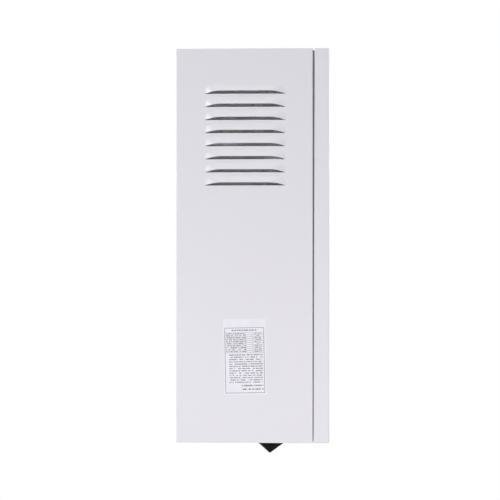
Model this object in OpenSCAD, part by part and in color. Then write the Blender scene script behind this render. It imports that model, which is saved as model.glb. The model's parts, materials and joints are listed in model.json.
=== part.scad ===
// Electric wall boiler: a sheet-steel casing that hangs on a wall bracket, with a lift-off
// front cover. Inside are a heating tank, a circulation pump, an expansion vessel, the
// safety fittings and the electronics.
// Frame: x runs across, the wall is the plane y = 0 and the front faces -y, z is up.
// The origin is on the wall, at the middle of the wall bracket's two screw holes.

/* [Casing] */
// Width of the casing
casing_w = 400; // [396:1:410]
// Height of the casing
casing_h = 650; // [640:5:700]
// Depth of the casing, from the wall to its front edge
casing_d = 225; // [220:1:240]
// Thickness of the casing's sheet steel
sheet_t = 1.2; // [1:0.1:1.5]
// Width of the returns folded inwards round the casing's edges
return_w = 14; // [12:0.5:16]
// Space between the wall and the back panel, where the bracket hides
wall_gap = 12; // [11:0.5:14]

/* [Wall bracket] */
// Distance of the bracket's screw holes below the casing's top edge
hang_drop = 75; // [70:1:90]
// Width of the wall bracket
bracket_w = 340; // [320:5:360]
// Distance between the bracket's two screw holes
bracket_pitch = 280; // [240:5:290]
// Radius of the bracket's screw holes
bracket_hole_r = 4.25; // [3.25:0.25:5.25]
// Thickness of the bracket's steel
bracket_t = 2; // [1.5:0.25:2.5]
// Radius of the two lower fixing holes
foot_hole_r = 3.5; // [2.5:0.5:4.5]

/* [Front cover] */
// Distance of the cover's face in front of the casing's front edge
cover_reach = 27; // [25:0.5:30]
// Thickness of the cover's sheet
cover_t = 1; // [0.8:0.1:1.2]
// Width of the lips folded inwards round the cover's rear edge
lip_w = 10; // [9:0.5:11]
// Width of the seam between the cover and the casing at the top
seam_top = 3; // [2:0.1:3.5]
// Width of the seam between the cover and the casing at the bottom
seam_bottom = 1.2; // [1:0.1:1.8]
// Width of the foam strip in the seam
seal_w = 6; // [5:0.5:6.5]

/* [Louvres] */
// Number of louvres on each side panel
louvre_count = 8; // [5:1:9]
// Length of a louvre's slit
louvre_l = 133; // [100:1:150]
// Distance from one louvre to the next
louvre_pitch = 21.6; // [20:0.2:24]
// How far a louvre's lip stands out from the panel
louvre_out = 5; // [3:0.5:6]
// Height of the open slot under a louvre's lip
louvre_gap = 5.4; // [4:0.2:6.4]
// Height of a louvre from its slit to the bend above it
louvre_rise = 16; // [14:0.5:18]
// Distance from the casing's top edge down to the first slit
louvre_top = 74; // [60:1:90]
// Distance of the louvres' middle from the wall
louvre_mid_d = 113.5; // [100:0.5:120]

/* [Rating label] */
// Width of the label
label_w = 70; // [50:1:90]
// Height of the label
label_h = 125; // [90:1:140]
// Lean of the label, as it was stuck on
label_tilt = 1.1; // [-2:0.1:2]

/* [Cable entry] */
// Radius of the grommet's flange, under the bottom panel
grommet_r = 22; // [20:0.5:24]
// Thickness of the grommet's flange
grommet_t = 6; // [4:0.5:7]
// Radius of the grommet's cone where it leaves the flange
cone_r = 20; // [16:0.5:20]
// Length of the cone below the flange
cone_l = 16.6; // [12:0.2:20]
// Distance of the cable entry from the wall
entry_d = 155; // [150:1:165]
// Distance of the cable entry from the casing's left side
entry_from_side = 51; // [45:1:60]

/* [Heating tank] */
// Outer radius of the tank
tank_r = 50; // [46:0.5:54]
// Wall of the tank
tank_wall = 2; // [1.5:0.1:2.5]
// Height of the tank's bottom above the pump's upper union
tank_rise = 10; // [8:1:14]
// Height of the tank
tank_h = 300; // [280:5:320]
// Thickness of the insulating jacket
jacket_t = 12; // [9:0.5:13]
// Radius of a heating element's tube
element_r = 4; // [3:0.25:4.5]
// Length of a heating element below the flange
element_l = 270; // [200:5:275]

/* [Pipes and pump] */
// Outer radius of the copper pipes
pipe_r = 11; // [9:0.5:11]
// Wall of the copper pipes
pipe_wall = 1; // [0.8:0.1:1.5]
// Radius of a pipe bend, to the middle of the pipe
bend_r = 22; // [18:0.5:24]
// Radius of the thread bore in the two heating connections
connection_r = 12.06; // [11:0.02:12.6]
// Depth of the thread bore in the two heating connections
connection_l = 16; // [12:0.5:17]
// Length of the pump between its two unions
pump_l = 130; // [126:1:132]
// Radius of the pump's motor
motor_r = 38; // [34:0.5:40]
// Radius of the thread bore in the safety valve's outlet
outlet_r = 9.3; // [8:0.1:10]
// Depth of the thread bore in the safety valve's outlet
outlet_l = 12; // [10:0.5:16]
// Thickness of the flat expansion vessel
vessel_t = 76; // [60:1:80]
// Height of the expansion vessel
vessel_h = 270; // [220:5:300]

/* [Control unit] */
// Width of the control unit
unit_w = 150; // [140:1:170]
// Height of the control unit
unit_h = 96; // [90:1:110]
// Height of the control unit's middle above the casing's lower edge
unit_z = 430; // [410:1:450]
// Gap between the control unit and the cover's window
window_gap = 1; // [0.6:0.1:1.5]
// Radius of a key
key_r = 6; // [5:0.25:7]
// Distance from one key to the next
key_pitch = 26; // [20:0.5:30]
// Travel of a key
key_travel = 0.8; // [0.5:0.1:1]

/* [Hidden] */
$fn = 48;

// Clearances
free_gap = 2.8;
fit_gap = 0.1;
slide_gap = 0.2;
soft_gap = 0.3;
cut = 1;

// Casing planes
side_in = casing_w / 2 - sheet_t;
back_in = wall_gap + sheet_t;
top_in = casing_h - sheet_t;
front_in = casing_d - sheet_t;
face_d = casing_d + cover_reach;
entry_x = -(casing_w / 2 - entry_from_side);
hang_h = casing_h - hang_drop;

// Heating tank and the plane that all the pipes share
ring_w = 14;
flange_r = tank_r + ring_w;
flange_t = 8;
bolt_head_r = 5.6;
bolt_head_t = 4;
gasket_t = 2;
bolt_circle_r = tank_r + ring_w / 2;
bolt_count = 6;
bolt_r = 3;
tank_x = -(side_in - free_gap - flange_r);
pipe_d = back_in + free_gap + flange_r;
union_z = 60;
pump_top_z = union_z + pump_l;
tank_foot_z = pump_top_z + tank_rise;
tank_top_z = tank_foot_z + tank_h;
dish_h = 12;
jacket_r = tank_r + jacket_t;
port_out = 2;
port_reach = jacket_r + port_out;
port_x = tank_x + port_reach;
inlet_rise = 25;
outlet_drop = 30;
inlet_z = tank_foot_z + inlet_rise;
outlet_z = tank_top_z - outlet_drop;
sleeve_t = 1.5;
sleeve_l = 8;

// Pipe lines
riser_gap = 12;
cross_rise = 37;
pump_offset = 27;
connection_pitch = 90;
drop_x = tank_x + jacket_r + riser_gap + pipe_r;
cross_z = inlet_z + cross_rise;
pump_x = drop_x + pump_offset;
manifold_x = pump_x + connection_pitch;
socket_wall = 4.44;
socket_r = connection_r + socket_wall;
collar_w = 5.5;
collar_r = socket_r + collar_w;
collar_t = 5;
proud = 0.5;
solder_gap = 0.05;
cup_step = 0.5;
cup_l = 12;
waterway_r = pipe_r - pipe_wall - cup_step;
cup_r = pipe_r + solder_gap;

// Pump and its unions
thread_r = 16.6;
thread_l = 18;
neck_r = 17.6;
tail_z0 = 28;
tail_r = 13;
tail_step = 1.1;
tail_collar_r = thread_r - tail_step;
tail_collar_t = 3;
nut_r = 23;
nut_l = 20;
nut_lip_t = 3;
pump_mid_z = union_z + pump_l / 2;
volute_r = 40;
volute_back = 20;
volute_front = 18;
volute_wall = 4;
volute_back_d = pipe_d - volute_back;
volute_front_d = pipe_d + volute_front;
chamber_r = 30;
motor_flange_t = 8;
motor_l = 85;
motor_front_d = volute_front_d + motor_l;
rotor_r = 17;
rotor_gap = 1;
shaft_r = 4;
bearing_gap = 0.03;
box_w = 32;
box_h = 60;
box_setback = 8;
box_front_d = motor_front_d - box_setback;
knob_r = 9;
knob_t = 8;
knob_offset = 2;
knob_rise = 10;

// Supply manifold, safety valve and pressure sensor
manifold_top_z = 118;
valve_z = 60;
branch_z = 100;
sensor_z = 80;
boss_reach = 22;
spigot_r = 10.5;
spigot_l = 12;
valve_x0 = manifold_x + boss_reach;
valve_r = 16;
valve_l = 36;
outlet_offset = 18;
outlet_x = valve_x0 + outlet_offset;
outlet_wall = 4.7;
outlet_body_r = outlet_r + outlet_wall;
bonnet_r = 13;
bonnet_l = 18;
chamber_wall = 3;
seat_r = 6;
disc_r = 8;
disc_t = 3;
stem_r = 2.5;
cap_r = 17;
cap_l = 20;
valve_lift = 2;
spring_r = 7;
spring_wire_r = 0.9;
spring_turns = 6;
boss_wall = 3;
branch_boss_wall = 4;
sensor_boss_r = 10;
sensor_stem_r = 4.5;
sensor_hex_r = 10.5;
sensor_hex_l = 8;
sensor_body_r = 8;
sensor_body_l = 18;
sensor_plug = 10;
sensor_boss_l = 6;
sensor_boss_d = pipe_d + socket_r + sensor_boss_l;
branch_r = 5;
branch_bend_r = 16;
branch_stop = 2;
branch_stop_x = manifold_x + waterway_r + branch_stop;

// Air vent
vent_rise = 22;
vent_z = outlet_z + vent_rise;
vent_r = 20;
vent_h = 56;
vent_wall = 2.5;
vent_floor_t = 4;
float_r = 14.5;
float_h = 32;
float_lift = 6;
guide_r = 1.5;
guide_proud = 2;
vent_bore_r = 5;
tee_r = 14.5;

// Expansion vessel, set between the air vent and the right side
vessel_vent_gap = 5;
vessel_side_gap = 4.8;
vessel_pipe_gap = 17;
vessel_x0 = drop_x + vent_r + vessel_vent_gap;
vessel_x1 = side_in - vessel_side_gap;
vessel_w = vessel_x1 - vessel_x0;
vessel_mid_x = (vessel_x0 + vessel_x1) / 2;
vessel_z0 = cross_z + pipe_r + vessel_pipe_gap;
vessel_mid_z = vessel_z0 + vessel_h / 2;
vessel_corner_r = 40;
vessel_draw = 14;
vessel_wall = 1.5;
seam_out = 3;
seam_t = 4;
stub_inset = 4;
stub_x = vessel_x1 - vessel_corner_r - stub_inset;
stub_r = 7;
stub_l = 12;

// Electronics
plate_gap = 8;
plate_d = pipe_d + vessel_t / 2 + plate_gap;
plate_front_d = plate_d + sheet_t;
plate_side = 13;
plate_rise = 10;
plate_x0 = drop_x - plate_side;
plate_z0 = vessel_z0 + plate_rise;
plate_fold = 12;
standoff_h = 8;
standoff_r = 3;
standoff_inset = 6;
board_t = 1.6;
board_side_gap = 14;
board_drop = 45;
board_w = 170;
board_h = 150;
board_x1 = side_in - board_side_gap;
board_x0 = board_x1 - board_w;
board_z1 = casing_h - board_drop;
board_z0 = board_z1 - board_h;
board_face_d = plate_front_d + standoff_h + board_t;
sink_w = 100;
sink_h = 60;
sink_gap = 10;
sink_x0 = board_x1 - sink_w;
sink_z1 = board_z0 - sink_gap;
sink_base_t = 4;
sink_fin_t = 1.5;
sink_fin_h = 28;
sink_fins = 15;
pole_count = 5;
pole_w = 15;
block_h = 40;
block_depth = 25;
block_inset = 10;
block_rise = 30;
block_x0 = plate_x0 + block_inset;
block_z0 = plate_z0 + block_rise;

// Control unit
bar_t = 1.5;
bar_margin = 12;
bar_z0 = unit_z - unit_h / 2 - bar_margin;
bar_z1 = unit_z + unit_h / 2 + bar_margin;
bezel_recess = 0.4;
bezel_d1 = face_d - bezel_recess;
bezel_wall = 2;
bezel_corner_r = 4;
lens_w = 110;
lens_h = 50;
lens_t = 1.5;
lens_rise = 14;
lens_z = unit_z + lens_rise;
lens_seat = 3;
key_drop = 30;
key_z = unit_z - key_drop;
key_xs = [for (i = [-1.5 : 1 : 1.5]) i * key_pitch];
key_skirt_t = 1.2;
key_skirt_w = 1.2;
key_skirt_r = key_r + key_skirt_w;
key_stem_r = 2;
display_depth = 14;
board_gap_d = bezel_d1 - bezel_wall - display_depth;
switch_h = 4.4;

// Front cover
cover_corner_r = 3;
tab_x = 150;
tab_w = 24;
tab_t = 1.5;
dimple_r = 6;
dimple_h = 2.4;
screw_r = 2;
screw_setback = 15;
screw_d = casing_d + screw_setback;
screw_head_r = 4;
screw_head_t = 2.1;
tab_z = dimple_h + cover_t + soft_gap;
pin_r = 3;
pin_l = 12;
pin_x = 150;
pin_drop = 19;
ear_w = 20;
ear_h = 16;
notch_gap = 2;

// Solid helpers: x, d and z are [from, to]; d is the distance from the wall
module hung() translate([0, 0, -hang_h]) children();
module slab(x, d, z) translate([x[0], -d[1], z[0]]) cube([x[1] - x[0], d[1] - d[0], z[1] - z[0]]);
module rod_x(x, d, z, r) translate([x[0], -d, z]) rotate([0, 90, 0]) cylinder(h = x[1] - x[0], r = r);
module rod_y(x, d, z, r) translate([x, -d[0], z]) rotate([90, 0, 0]) cylinder(h = d[1] - d[0], r = r);
module rod_z(x, d, z, r) translate([x, -d, z[0]]) cylinder(h = z[1] - z[0], r = r);
module tube_z(x, d, z, r, bore) difference() {
    rod_z(x, d, z, r);
    rod_z(x, d, [z[0] - cut, z[1] + cut], bore);
}
module hex_z(x, d, z, r) translate([x, -d, z[0]]) cylinder(h = z[1] - z[0], r = r, $fn = 6);
// An upright plate with round corners, standing across the depth
module rounded_plate(x, d, z, r) {
    slab([x[0] + r, x[1] - r], d, z);
    slab(x, d, [z[0] + r, z[1] - r]);
    for (cx = [x[0] + r, x[1] - r], cz = [z[0] + r, z[1] - r])
        rod_y(cx, d, cz, r);
}

// Pipes that run along the axes, with round bends
function unit(v) = v / norm(v);
function across(v) = abs(v.z) < 0.9 ? [0, 0, 1] : [1, 0, 0];
function columns(a, b, c, p) = [
    [a.x, b.x, c.x, p.x],
    [a.y, b.y, c.y, p.y],
    [a.z, b.z, c.z, p.z],
    [0, 0, 0, 1]
];
module ring_2d(r, wall) difference() {
    circle(r = r);
    if (wall < r) circle(r = r - wall);
}
module straight(from, to, r, wall) {
    u = unit(to - from);
    multmatrix(columns(across(u), cross(u, across(u)), u, from))
        linear_extrude(height = norm(to - from)) ring_2d(r, wall);
}
module elbow(corner, u, v, r, wall, bend) {
    multmatrix(columns(-v, u, cross(u, v), corner + bend * (v - u)))
        rotate_extrude(angle = 90) translate([bend, 0]) ring_2d(r, wall);
}
module pipe_run(points, r, wall, bend) {
    last = len(points) - 1;
    for (i = [0 : last - 1]) {
        u = unit(points[i + 1] - points[i]);
        straight(points[i] + (i == 0 ? 0 : bend) * u,
                 points[i + 1] - (i == last - 1 ? 0 : bend) * u, r, wall);
    }
    for (i = [1 : 1 : last - 1])
        elbow(points[i], unit(points[i] - points[i - 1]), unit(points[i + 1] - points[i]),
              r, wall, bend);
}

// Wires: a tube swept along a smooth line through chosen points
wire_steps = 5;
function smooth(a, b, c, d, t) =
    0.5 * (2 * b + (c - a) * t + (2 * a - 5 * b + 4 * c - d) * t * t
           + (3 * b - a - 3 * c + d) * t * t * t);
function wire_line(p) = [
    for (i = [0 : len(p) - 2], s = [0 : wire_steps - 1])
        smooth(p[max(i - 1, 0)], p[i], p[i + 1], p[min(i + 2, len(p) - 1)], s / wire_steps),
    p[len(p) - 1]
];
function tangent(line, i) = unit(line[min(i + 1, len(line) - 1)] - line[max(i - 1, 0)]);
function square_to(v, t) = unit(v - (v * t) * t);
function carried(line) = [
    for (i = 0, n = square_to(across(tangent(line, 0)), tangent(line, 0));
         i < len(line);
         i = i + 1, n = i < len(line) ? square_to(n, tangent(line, i)) : n)
        n
];
function sweep_points(line, r, sides) = let (n = carried(line)) [
    for (i = [0 : len(line) - 1], k = [0 : sides - 1])
        let (b = cross(tangent(line, i), n[i]), a = 360 * k / sides)
            line[i] + r * (cos(a) * n[i] + sin(a) * b)
];
function sweep_faces(rings, sides) = [
    for (i = [0 : rings - 2], k = [0 : sides - 1], half = [0, 1])
        let (a = i * sides + k, b = i * sides + (k + 1) % sides)
            half == 0 ? [b, a, a + sides] : [b, a + sides, b + sides],
    [for (k = [0 : sides - 1]) k],
    [for (k = [sides - 1 : -1 : 0]) (rings - 1) * sides + k]
];
module tube_along(line, r, sides) {
    polyhedron(sweep_points(line, r, sides), sweep_faces(len(line), sides));
}
// A point of a wire's route: x across, d from the wall, z up
function at(x, d, z) = [x, -d, z];

// Sheet panels of the casing
foot_x = bracket_pitch / 2;
foot_z = 60;
foot_cup_r = 14;
bracket_half_h = 15;
bracket_lip_h = 14;
hook_inset = 20;
hook_gap = 1.2;
hook_drop = 10;
hook_play = 1;
hook_w = bracket_w - 2 * hook_inset;
hook_reach = 2 * bracket_t + hook_gap;
lip_top_z = hang_h + bracket_half_h + bracket_lip_h;

module back_panel() color("white") hung() {
    difference() {
        union() {
            slab([-side_in, side_in], [wall_gap, back_in], [sheet_t, top_in]);
            for (x = [-foot_x, foot_x])
                rod_y(x, [0, back_in], foot_z, foot_cup_r);
            // The folded hook that drops over the wall bracket's lip
            slab([-hook_w / 2, hook_w / 2], [bracket_t + hook_gap, wall_gap],
                 [lip_top_z, lip_top_z + bracket_t]);
            slab([-hook_w / 2, hook_w / 2], [bracket_t + hook_gap, hook_reach],
                 [lip_top_z - hook_drop, lip_top_z + bracket_t]);
        }
        for (x = [-foot_x, foot_x]) {
            rod_y(x, [sheet_t, back_in + cut], foot_z, foot_cup_r - sheet_t);
            rod_y(x, [-cut, back_in], foot_z, foot_hole_r);
        }
    }
}

module wall_bracket() color("silver") hung() {
    lip_back_d = hook_reach + hook_play;
    high = hang_h + bracket_half_h;
    difference() {
        slab([-bracket_w / 2, bracket_w / 2], [0, bracket_t], [hang_h - bracket_half_h, high]);
        for (x = [-bracket_pitch / 2, bracket_pitch / 2])
            rod_y(x, [-cut, bracket_t + cut], hang_h, bracket_hole_r);
    }
    slab([-bracket_w / 2, bracket_w / 2], [0, lip_back_d + bracket_t], [high - bracket_t, high]);
    slab([-bracket_w / 2, bracket_w / 2], [lip_back_d, lip_back_d + bracket_t],
         [high - bracket_t, lip_top_z]);
}

// Louvre shape: u runs along the slit, s from the bend (0) to the lip (1)
louvre_cols = 14;
louvre_rows = 3;
end_l = 10.5;
blend_l = 24;
function ease(t) = t * t * (3 - 2 * t);
function louvre_u(i) = louvre_l / 2 * sin(90 * (2 * i / louvre_cols - 1));
function louvre_fade(u) = ease(min(1, (louvre_l / 2 - abs(u)) / blend_l));
function louvre_bend(u) =
    let (over = max(0, abs(u) - (louvre_l / 2 - end_l)) / end_l)
        louvre_rise * sqrt(max(0, 1 - over * over));
function louvre_height(u, s) =
    let (low = louvre_gap * louvre_fade(u), top = max(louvre_bend(u), low))
        top + (low - top) * s;
function louvre_push(u, s) = louvre_out * louvre_fade(u) * (s + 0.35 * s * (1 - s));
function louvre_point(i, j, depth) =
    let (u = louvre_u(i), s = j / louvre_rows)
        [depth - louvre_push(u, s), u, louvre_height(u, s)];
// The hood is drawn for the left panel, with its slit along y at z = 0
module louvre_hood() {
    points = [
        for (i = [1 : louvre_cols - 1], k = [0 : 2 * louvre_rows + 1])
            k <= louvre_rows ? louvre_point(i, k, sheet_t)
                             : louvre_point(i, 2 * louvre_rows + 1 - k, 0)
    ];
    polyhedron(points, sweep_faces(louvre_cols - 1, 2 * louvre_rows + 2));
}
// The hole under a hood, as an outline of (distance along the slit, height)
module louvre_hole() {
    us = [for (i = [1 : louvre_cols - 1]) louvre_u(i)];
    polygon(concat([for (u = us) [u, louvre_bend(u)]],
                   [for (i = [len(us) - 1 : -1 : 0]) [us[i], 0]]));
}
module side_panel() {
    x0 = -casing_w / 2;
    difference() {
        slab([x0, x0 + sheet_t], [0, casing_d], [0, casing_h]);
        for (i = [0 : louvre_count - 1])
            translate([x0 - cut, -louvre_mid_d, casing_h - louvre_top - i * louvre_pitch])
                rotate([90, 0, 90]) linear_extrude(height = sheet_t + 2 * cut) louvre_hole();
    }
    for (i = [0 : louvre_count - 1])
        translate([x0, -louvre_mid_d, casing_h - louvre_top - i * louvre_pitch]) louvre_hood();
    for (d = [[0, sheet_t], [front_in, casing_d]])
        slab([x0, x0 + return_w], d, [return_w, casing_h - return_w]);
}
module left_side_panel() color("white") hung() side_panel();
module right_side_panel() color("white") hung() mirror([1, 0, 0]) side_panel();

module top_panel() color("white") hung() difference() {
    union() {
        slab([-side_in, side_in], [0, casing_d], [top_in, casing_h]);
        slab([-side_in, side_in], [0, sheet_t], [casing_h - return_w, casing_h]);
        slab([-side_in, side_in], [front_in, casing_d], [casing_h - return_w, casing_h]);
        for (x = [-pin_x, pin_x])
            slab([x - ear_w / 2, x + ear_w / 2], [front_in, casing_d],
                 [casing_h - pin_drop - ear_h / 2, casing_h - return_w]);
    }
    for (x = [-pin_x, pin_x])
        rod_y(x, [front_in - cut, casing_d + cut], casing_h - pin_drop, pin_r + slide_gap);
}

module bottom_panel() color("white") hung() {
    difference() {
        union() {
            slab([-side_in, side_in], [0, casing_d], [0, sheet_t]);
            slab([-side_in, side_in], [0, sheet_t], [0, return_w]);
            slab([-side_in, side_in], [front_in, casing_d], [0, return_w]);
        }
        for (x = [pump_x, manifold_x])
            rod_z(x, pipe_d, [-cut, sheet_t + cut], socket_r + fit_gap);
        rod_z(outlet_x, pipe_d, [-cut, sheet_t + cut], outlet_body_r + slide_gap);
        rod_z(entry_x, entry_d, [-cut, sheet_t + cut], entry_neck_r);
    }
    // Two tabs with slots open to the front, which the cover's screws clamp
    for (x = [-tab_x, tab_x])
        difference() {
            slab([x - tab_w / 2, x + tab_w / 2], [front_in, screw_d + 5], [tab_z, tab_z + tab_t]);
            slab([x - screw_r - soft_gap, x + screw_r + soft_gap], [screw_d, screw_d + 6],
                 [tab_z - cut, tab_z + tab_t + cut]);
            rod_z(x, screw_d, [tab_z - cut, tab_z + tab_t + cut], screw_r + soft_gap);
        }
}

seal_inset = 3;
// The distance from the wall at which the foam stops short of the cover, at a height z
function seal_reach(z) = casing_d + seam_bottom + (seam_top - seam_bottom) * z / casing_h - soft_gap;
module cover_seal() color("dimgray") hung() {
    outer = casing_w / 2 - seal_inset;
    low = seal_inset;
    high = casing_h - seal_inset;
    for (side = [-1, 1])
        translate([side * (outer - seal_w / 2) - seal_w / 2, 0, 0]) rotate([90, 0, 90])
            linear_extrude(height = seal_w)
                polygon([[-casing_d, low], [-casing_d, high], [-seal_reach(high), high],
                         [-seal_reach(low), low]]);
    slab([-outer + seal_w, outer - seal_w], [casing_d, seal_reach(high - seal_w)],
         [high - seal_w, high]);
    difference() {
        slab([-outer + seal_w, outer - seal_w], [casing_d, seal_reach(low)], [low, low + seal_w]);
        for (x = [-tab_x, tab_x])
            slab([x - tab_w / 2 - notch_gap, x + tab_w / 2 + notch_gap],
                 [casing_d - cut, face_d], [0, low + seal_w + cut]);
    }
}

label_d = 113;
label_z = 142;
label_t = 0.3;
module rating_label() color("whitesmoke") hung()
    translate([-casing_w / 2 - label_t, -label_d, label_z]) rotate([-label_tilt, 0, 0])
        translate([0, -label_w / 2, -label_h / 2]) cube([label_t, label_w, label_h]);

cone_lean = 2;
cone_tip_r = 2;
cone_root = 0.8;
entry_neck_step = 3;
entry_neck_r = cone_r - entry_neck_step;
entry_lip_t = 2.5;
module cable_grommet() color("black") hung() {
    hull() {
        rod_z(entry_x, entry_d, [-grommet_t - cone_root, -grommet_t], cone_r, $fn = 32);
        translate([entry_x, -(entry_d - cone_lean), cone_tip_r - grommet_t - cone_l])
            sphere(r = cone_tip_r, $fn = 16);
    }
    rod_z(entry_x, entry_d, [-grommet_t, 0], grommet_r);
    rod_z(entry_x, entry_d, [0, sheet_t], entry_neck_r - fit_gap);
    rod_z(entry_x, entry_d, [sheet_t, sheet_t + entry_lip_t], grommet_r);
}

// Heating tank: an upright cylinder with a dished foot and an open, flanged top
dish_steps = 8;
function dish_point(r, h, i) = let (a = 90 * i / dish_steps) [r * sin(a), h * (1 - cos(a))];
// The dished end's outline, with a small flat at its middle
function dish(r, h) = [[0, dish_point(r, h, 1).y], for (i = [1 : dish_steps]) dish_point(r, h, i)];
module tank_ports(z) {
    for (at_z = [inlet_z, outlet_z])
        rod_x([tank_x + z[0], tank_x + z[1]], pipe_d, at_z, z[2]);
}
module tank_shell() color("gray") hung() {
    inner_r = tank_r - tank_wall;
    difference() {
        union() {
            translate([tank_x, -pipe_d, tank_foot_z]) rotate_extrude()
                polygon(concat(dish(tank_r, dish_h), [[tank_r, tank_h], [0, tank_h]]));
            rod_z(tank_x, pipe_d, [tank_top_z - flange_t, tank_top_z], flange_r);
            tank_ports([tank_r - 4, port_reach, pipe_r]);
        }
        translate([tank_x, -pipe_d, tank_foot_z + tank_wall]) rotate_extrude()
            polygon(concat(dish(inner_r, dish_h - tank_wall / 2), [[inner_r, tank_h], [0, tank_h]]));
        tank_ports([tank_r - 10, port_reach + cut, pipe_r - pipe_wall]);
        flange_holes([tank_top_z - flange_t - cut, tank_top_z + cut], bolt_r + slide_gap);
    }
}
module flange_holes(z, r) {
    for (i = [0 : bolt_count - 1])
        let (a = 360 * i / bolt_count)
            rod_z(tank_x + bolt_circle_r * cos(a), pipe_d + bolt_circle_r * sin(a), z, r);
}

jacket_z0 = tank_foot_z + dish_h;
jacket_z1 = tank_top_z - flange_t - bolt_head_t - 2;
module tank_jacket() color("darkslategray") hung() difference() {
    tube_z(tank_x, pipe_d, [jacket_z0, jacket_z1], jacket_r, tank_r + slide_gap);
    tank_ports([tank_r - 4, jacket_r + 4, pipe_r + 3]);
}

band_t = 1.5;
band_h = 16;
band_zs = [inlet_z + 35, outlet_z - 32];
module tank_bands() color("silver") hung() for (z = band_zs) {
    span = [z - band_h / 2, z + band_h / 2];
    inner = jacket_r + slide_gap;
    foot_d = back_in + 2;
    tube_z(tank_x, pipe_d, span, inner + band_t, inner);
    slab([tank_x - 30, tank_x + 30], [back_in, foot_d], span);
    // Two webs join the foot to the band, and stop short of the jacket
    for (side = [-1, 1])
        difference() {
            slab([tank_x + side * 25 - 1, tank_x + side * 25 + 1], [back_in, pipe_d], span);
            rod_z(tank_x, pipe_d, [span[0] - cut, span[1] + cut], inner + band_t / 2);
        }
}

plate_z = tank_top_z + gasket_t;
plate_top_z = plate_z + flange_t;
element_in_r = 20;
element_out_r = 40;
element_bend_r = 9;
element_angles = [0, 90, 180];
module each_element_leg(z, r) {
    for (a = element_angles, leg_r = [element_in_r, element_out_r])
        rod_z(tank_x + leg_r * cos(a), pipe_d + leg_r * sin(a), z, r);
}
module heater_flange() color("silver") hung() difference() {
    rod_z(tank_x, pipe_d, [plate_z, plate_top_z], flange_r);
    each_element_leg([plate_z - cut, plate_top_z + cut], element_r + fit_gap / 2);
    flange_holes([plate_z - cut, plate_top_z + cut], bolt_r + slide_gap);
}
module flange_gasket() color("firebrick") hung() difference() {
    tube_z(tank_x, pipe_d, [tank_top_z, plate_z], flange_r - 1, tank_r - tank_wall);
    flange_holes([tank_top_z - cut, plate_z + cut], bolt_r + slide_gap);
}
module flange_bolts() color("silver") hung() for (i = [0 : bolt_count - 1]) {
    a = 360 * i / bolt_count;
    x = tank_x + bolt_circle_r * cos(a);
    d = pipe_d + bolt_circle_r * sin(a);
    under_z = tank_top_z - flange_t;
    rod_z(x, d, [under_z - bolt_head_t, plate_top_z], bolt_r);
    hex_z(x, d, [plate_top_z, plate_top_z + bolt_head_t], bolt_head_r);
    difference() {
        hex_z(x, d, [under_z - bolt_head_t, under_z], bolt_head_r);
        rod_z(tank_x, pipe_d, [under_z - 10, under_z + cut], tank_r + slide_gap);
    }
}
collar_z0 = plate_top_z + 3;
collar_z1 = plate_top_z + 9;
element_collar_w = 1.5;
stud_r = 1.8;
stud_l = 13;
pin_top_z = collar_z1 + stud_l;
function leg_point(a, r, z) = [tank_x + r * cos(a), -(pipe_d + r * sin(a)), z];
module heating_elements() color("sienna") hung() {
    low_z = plate_z - element_l;
    for (a = element_angles)
        pipe_run([leg_point(a, element_in_r, collar_z0), leg_point(a, element_in_r, low_z),
                  leg_point(a, element_out_r, low_z), leg_point(a, element_out_r, collar_z0)],
                 element_r, element_r, element_bend_r);
    each_element_leg([collar_z0, collar_z1], element_r + element_collar_w);
    each_element_leg([collar_z1, pin_top_z], stud_r);
}
// A strap that joins the three inner legs: the elements are in star connection
strap_w = 7;
strap_t = 1.2;
module star_strap() color("peru") hung() {
    first = element_angles[0];
    strap_z = collar_z1;
    difference() {
        union() {
            translate([tank_x, -pipe_d, strap_z]) rotate([0, 0, -element_angles[2]])
                rotate_extrude(angle = element_angles[2] - first)
                    translate([element_in_r - strap_w / 2, 0]) square([strap_w, strap_t]);
            for (a = element_angles)
                rod_z(tank_x + element_in_r * cos(a), pipe_d + element_in_r * sin(a),
                      [strap_z, strap_z + strap_t], strap_w / 2);
        }
        for (a = element_angles)
            rod_z(tank_x + element_in_r * cos(a), pipe_d + element_in_r * sin(a),
                  [strap_z - cut, strap_z + strap_t + cut], stud_r + fit_gap);
    }
}
cutout_r = 12;
cutout_h = 14;
cutout_top_z = plate_top_z + cutout_h;
blade_x = 8;
blade_t = 1;
blade_w = 6;
reset_r = 2.5;
reset_travel = 1.5;
reset_depth = 8;
reset_proud = 4;
module overheat_cutout() color("ivory") hung() difference() {
    union() {
        rod_z(tank_x, pipe_d, [plate_top_z, cutout_top_z], cutout_r);
        for (side = [-1, 1])
            slab([tank_x + side * blade_x - blade_t / 2, tank_x + side * blade_x + blade_t / 2],
                 [pipe_d - blade_w / 2, pipe_d + blade_w / 2], [cutout_top_z, cutout_top_z + blade_w]);
    }
    rod_z(tank_x, pipe_d, [cutout_top_z - reset_depth, cutout_top_z + cut], reset_r + slide_gap);
}
module reset_pin() color("red") hung()
    rod_z(tank_x, pipe_d, [cutout_top_z - reset_depth + reset_travel + slide_gap,
                           cutout_top_z + reset_proud], reset_r);

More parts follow.
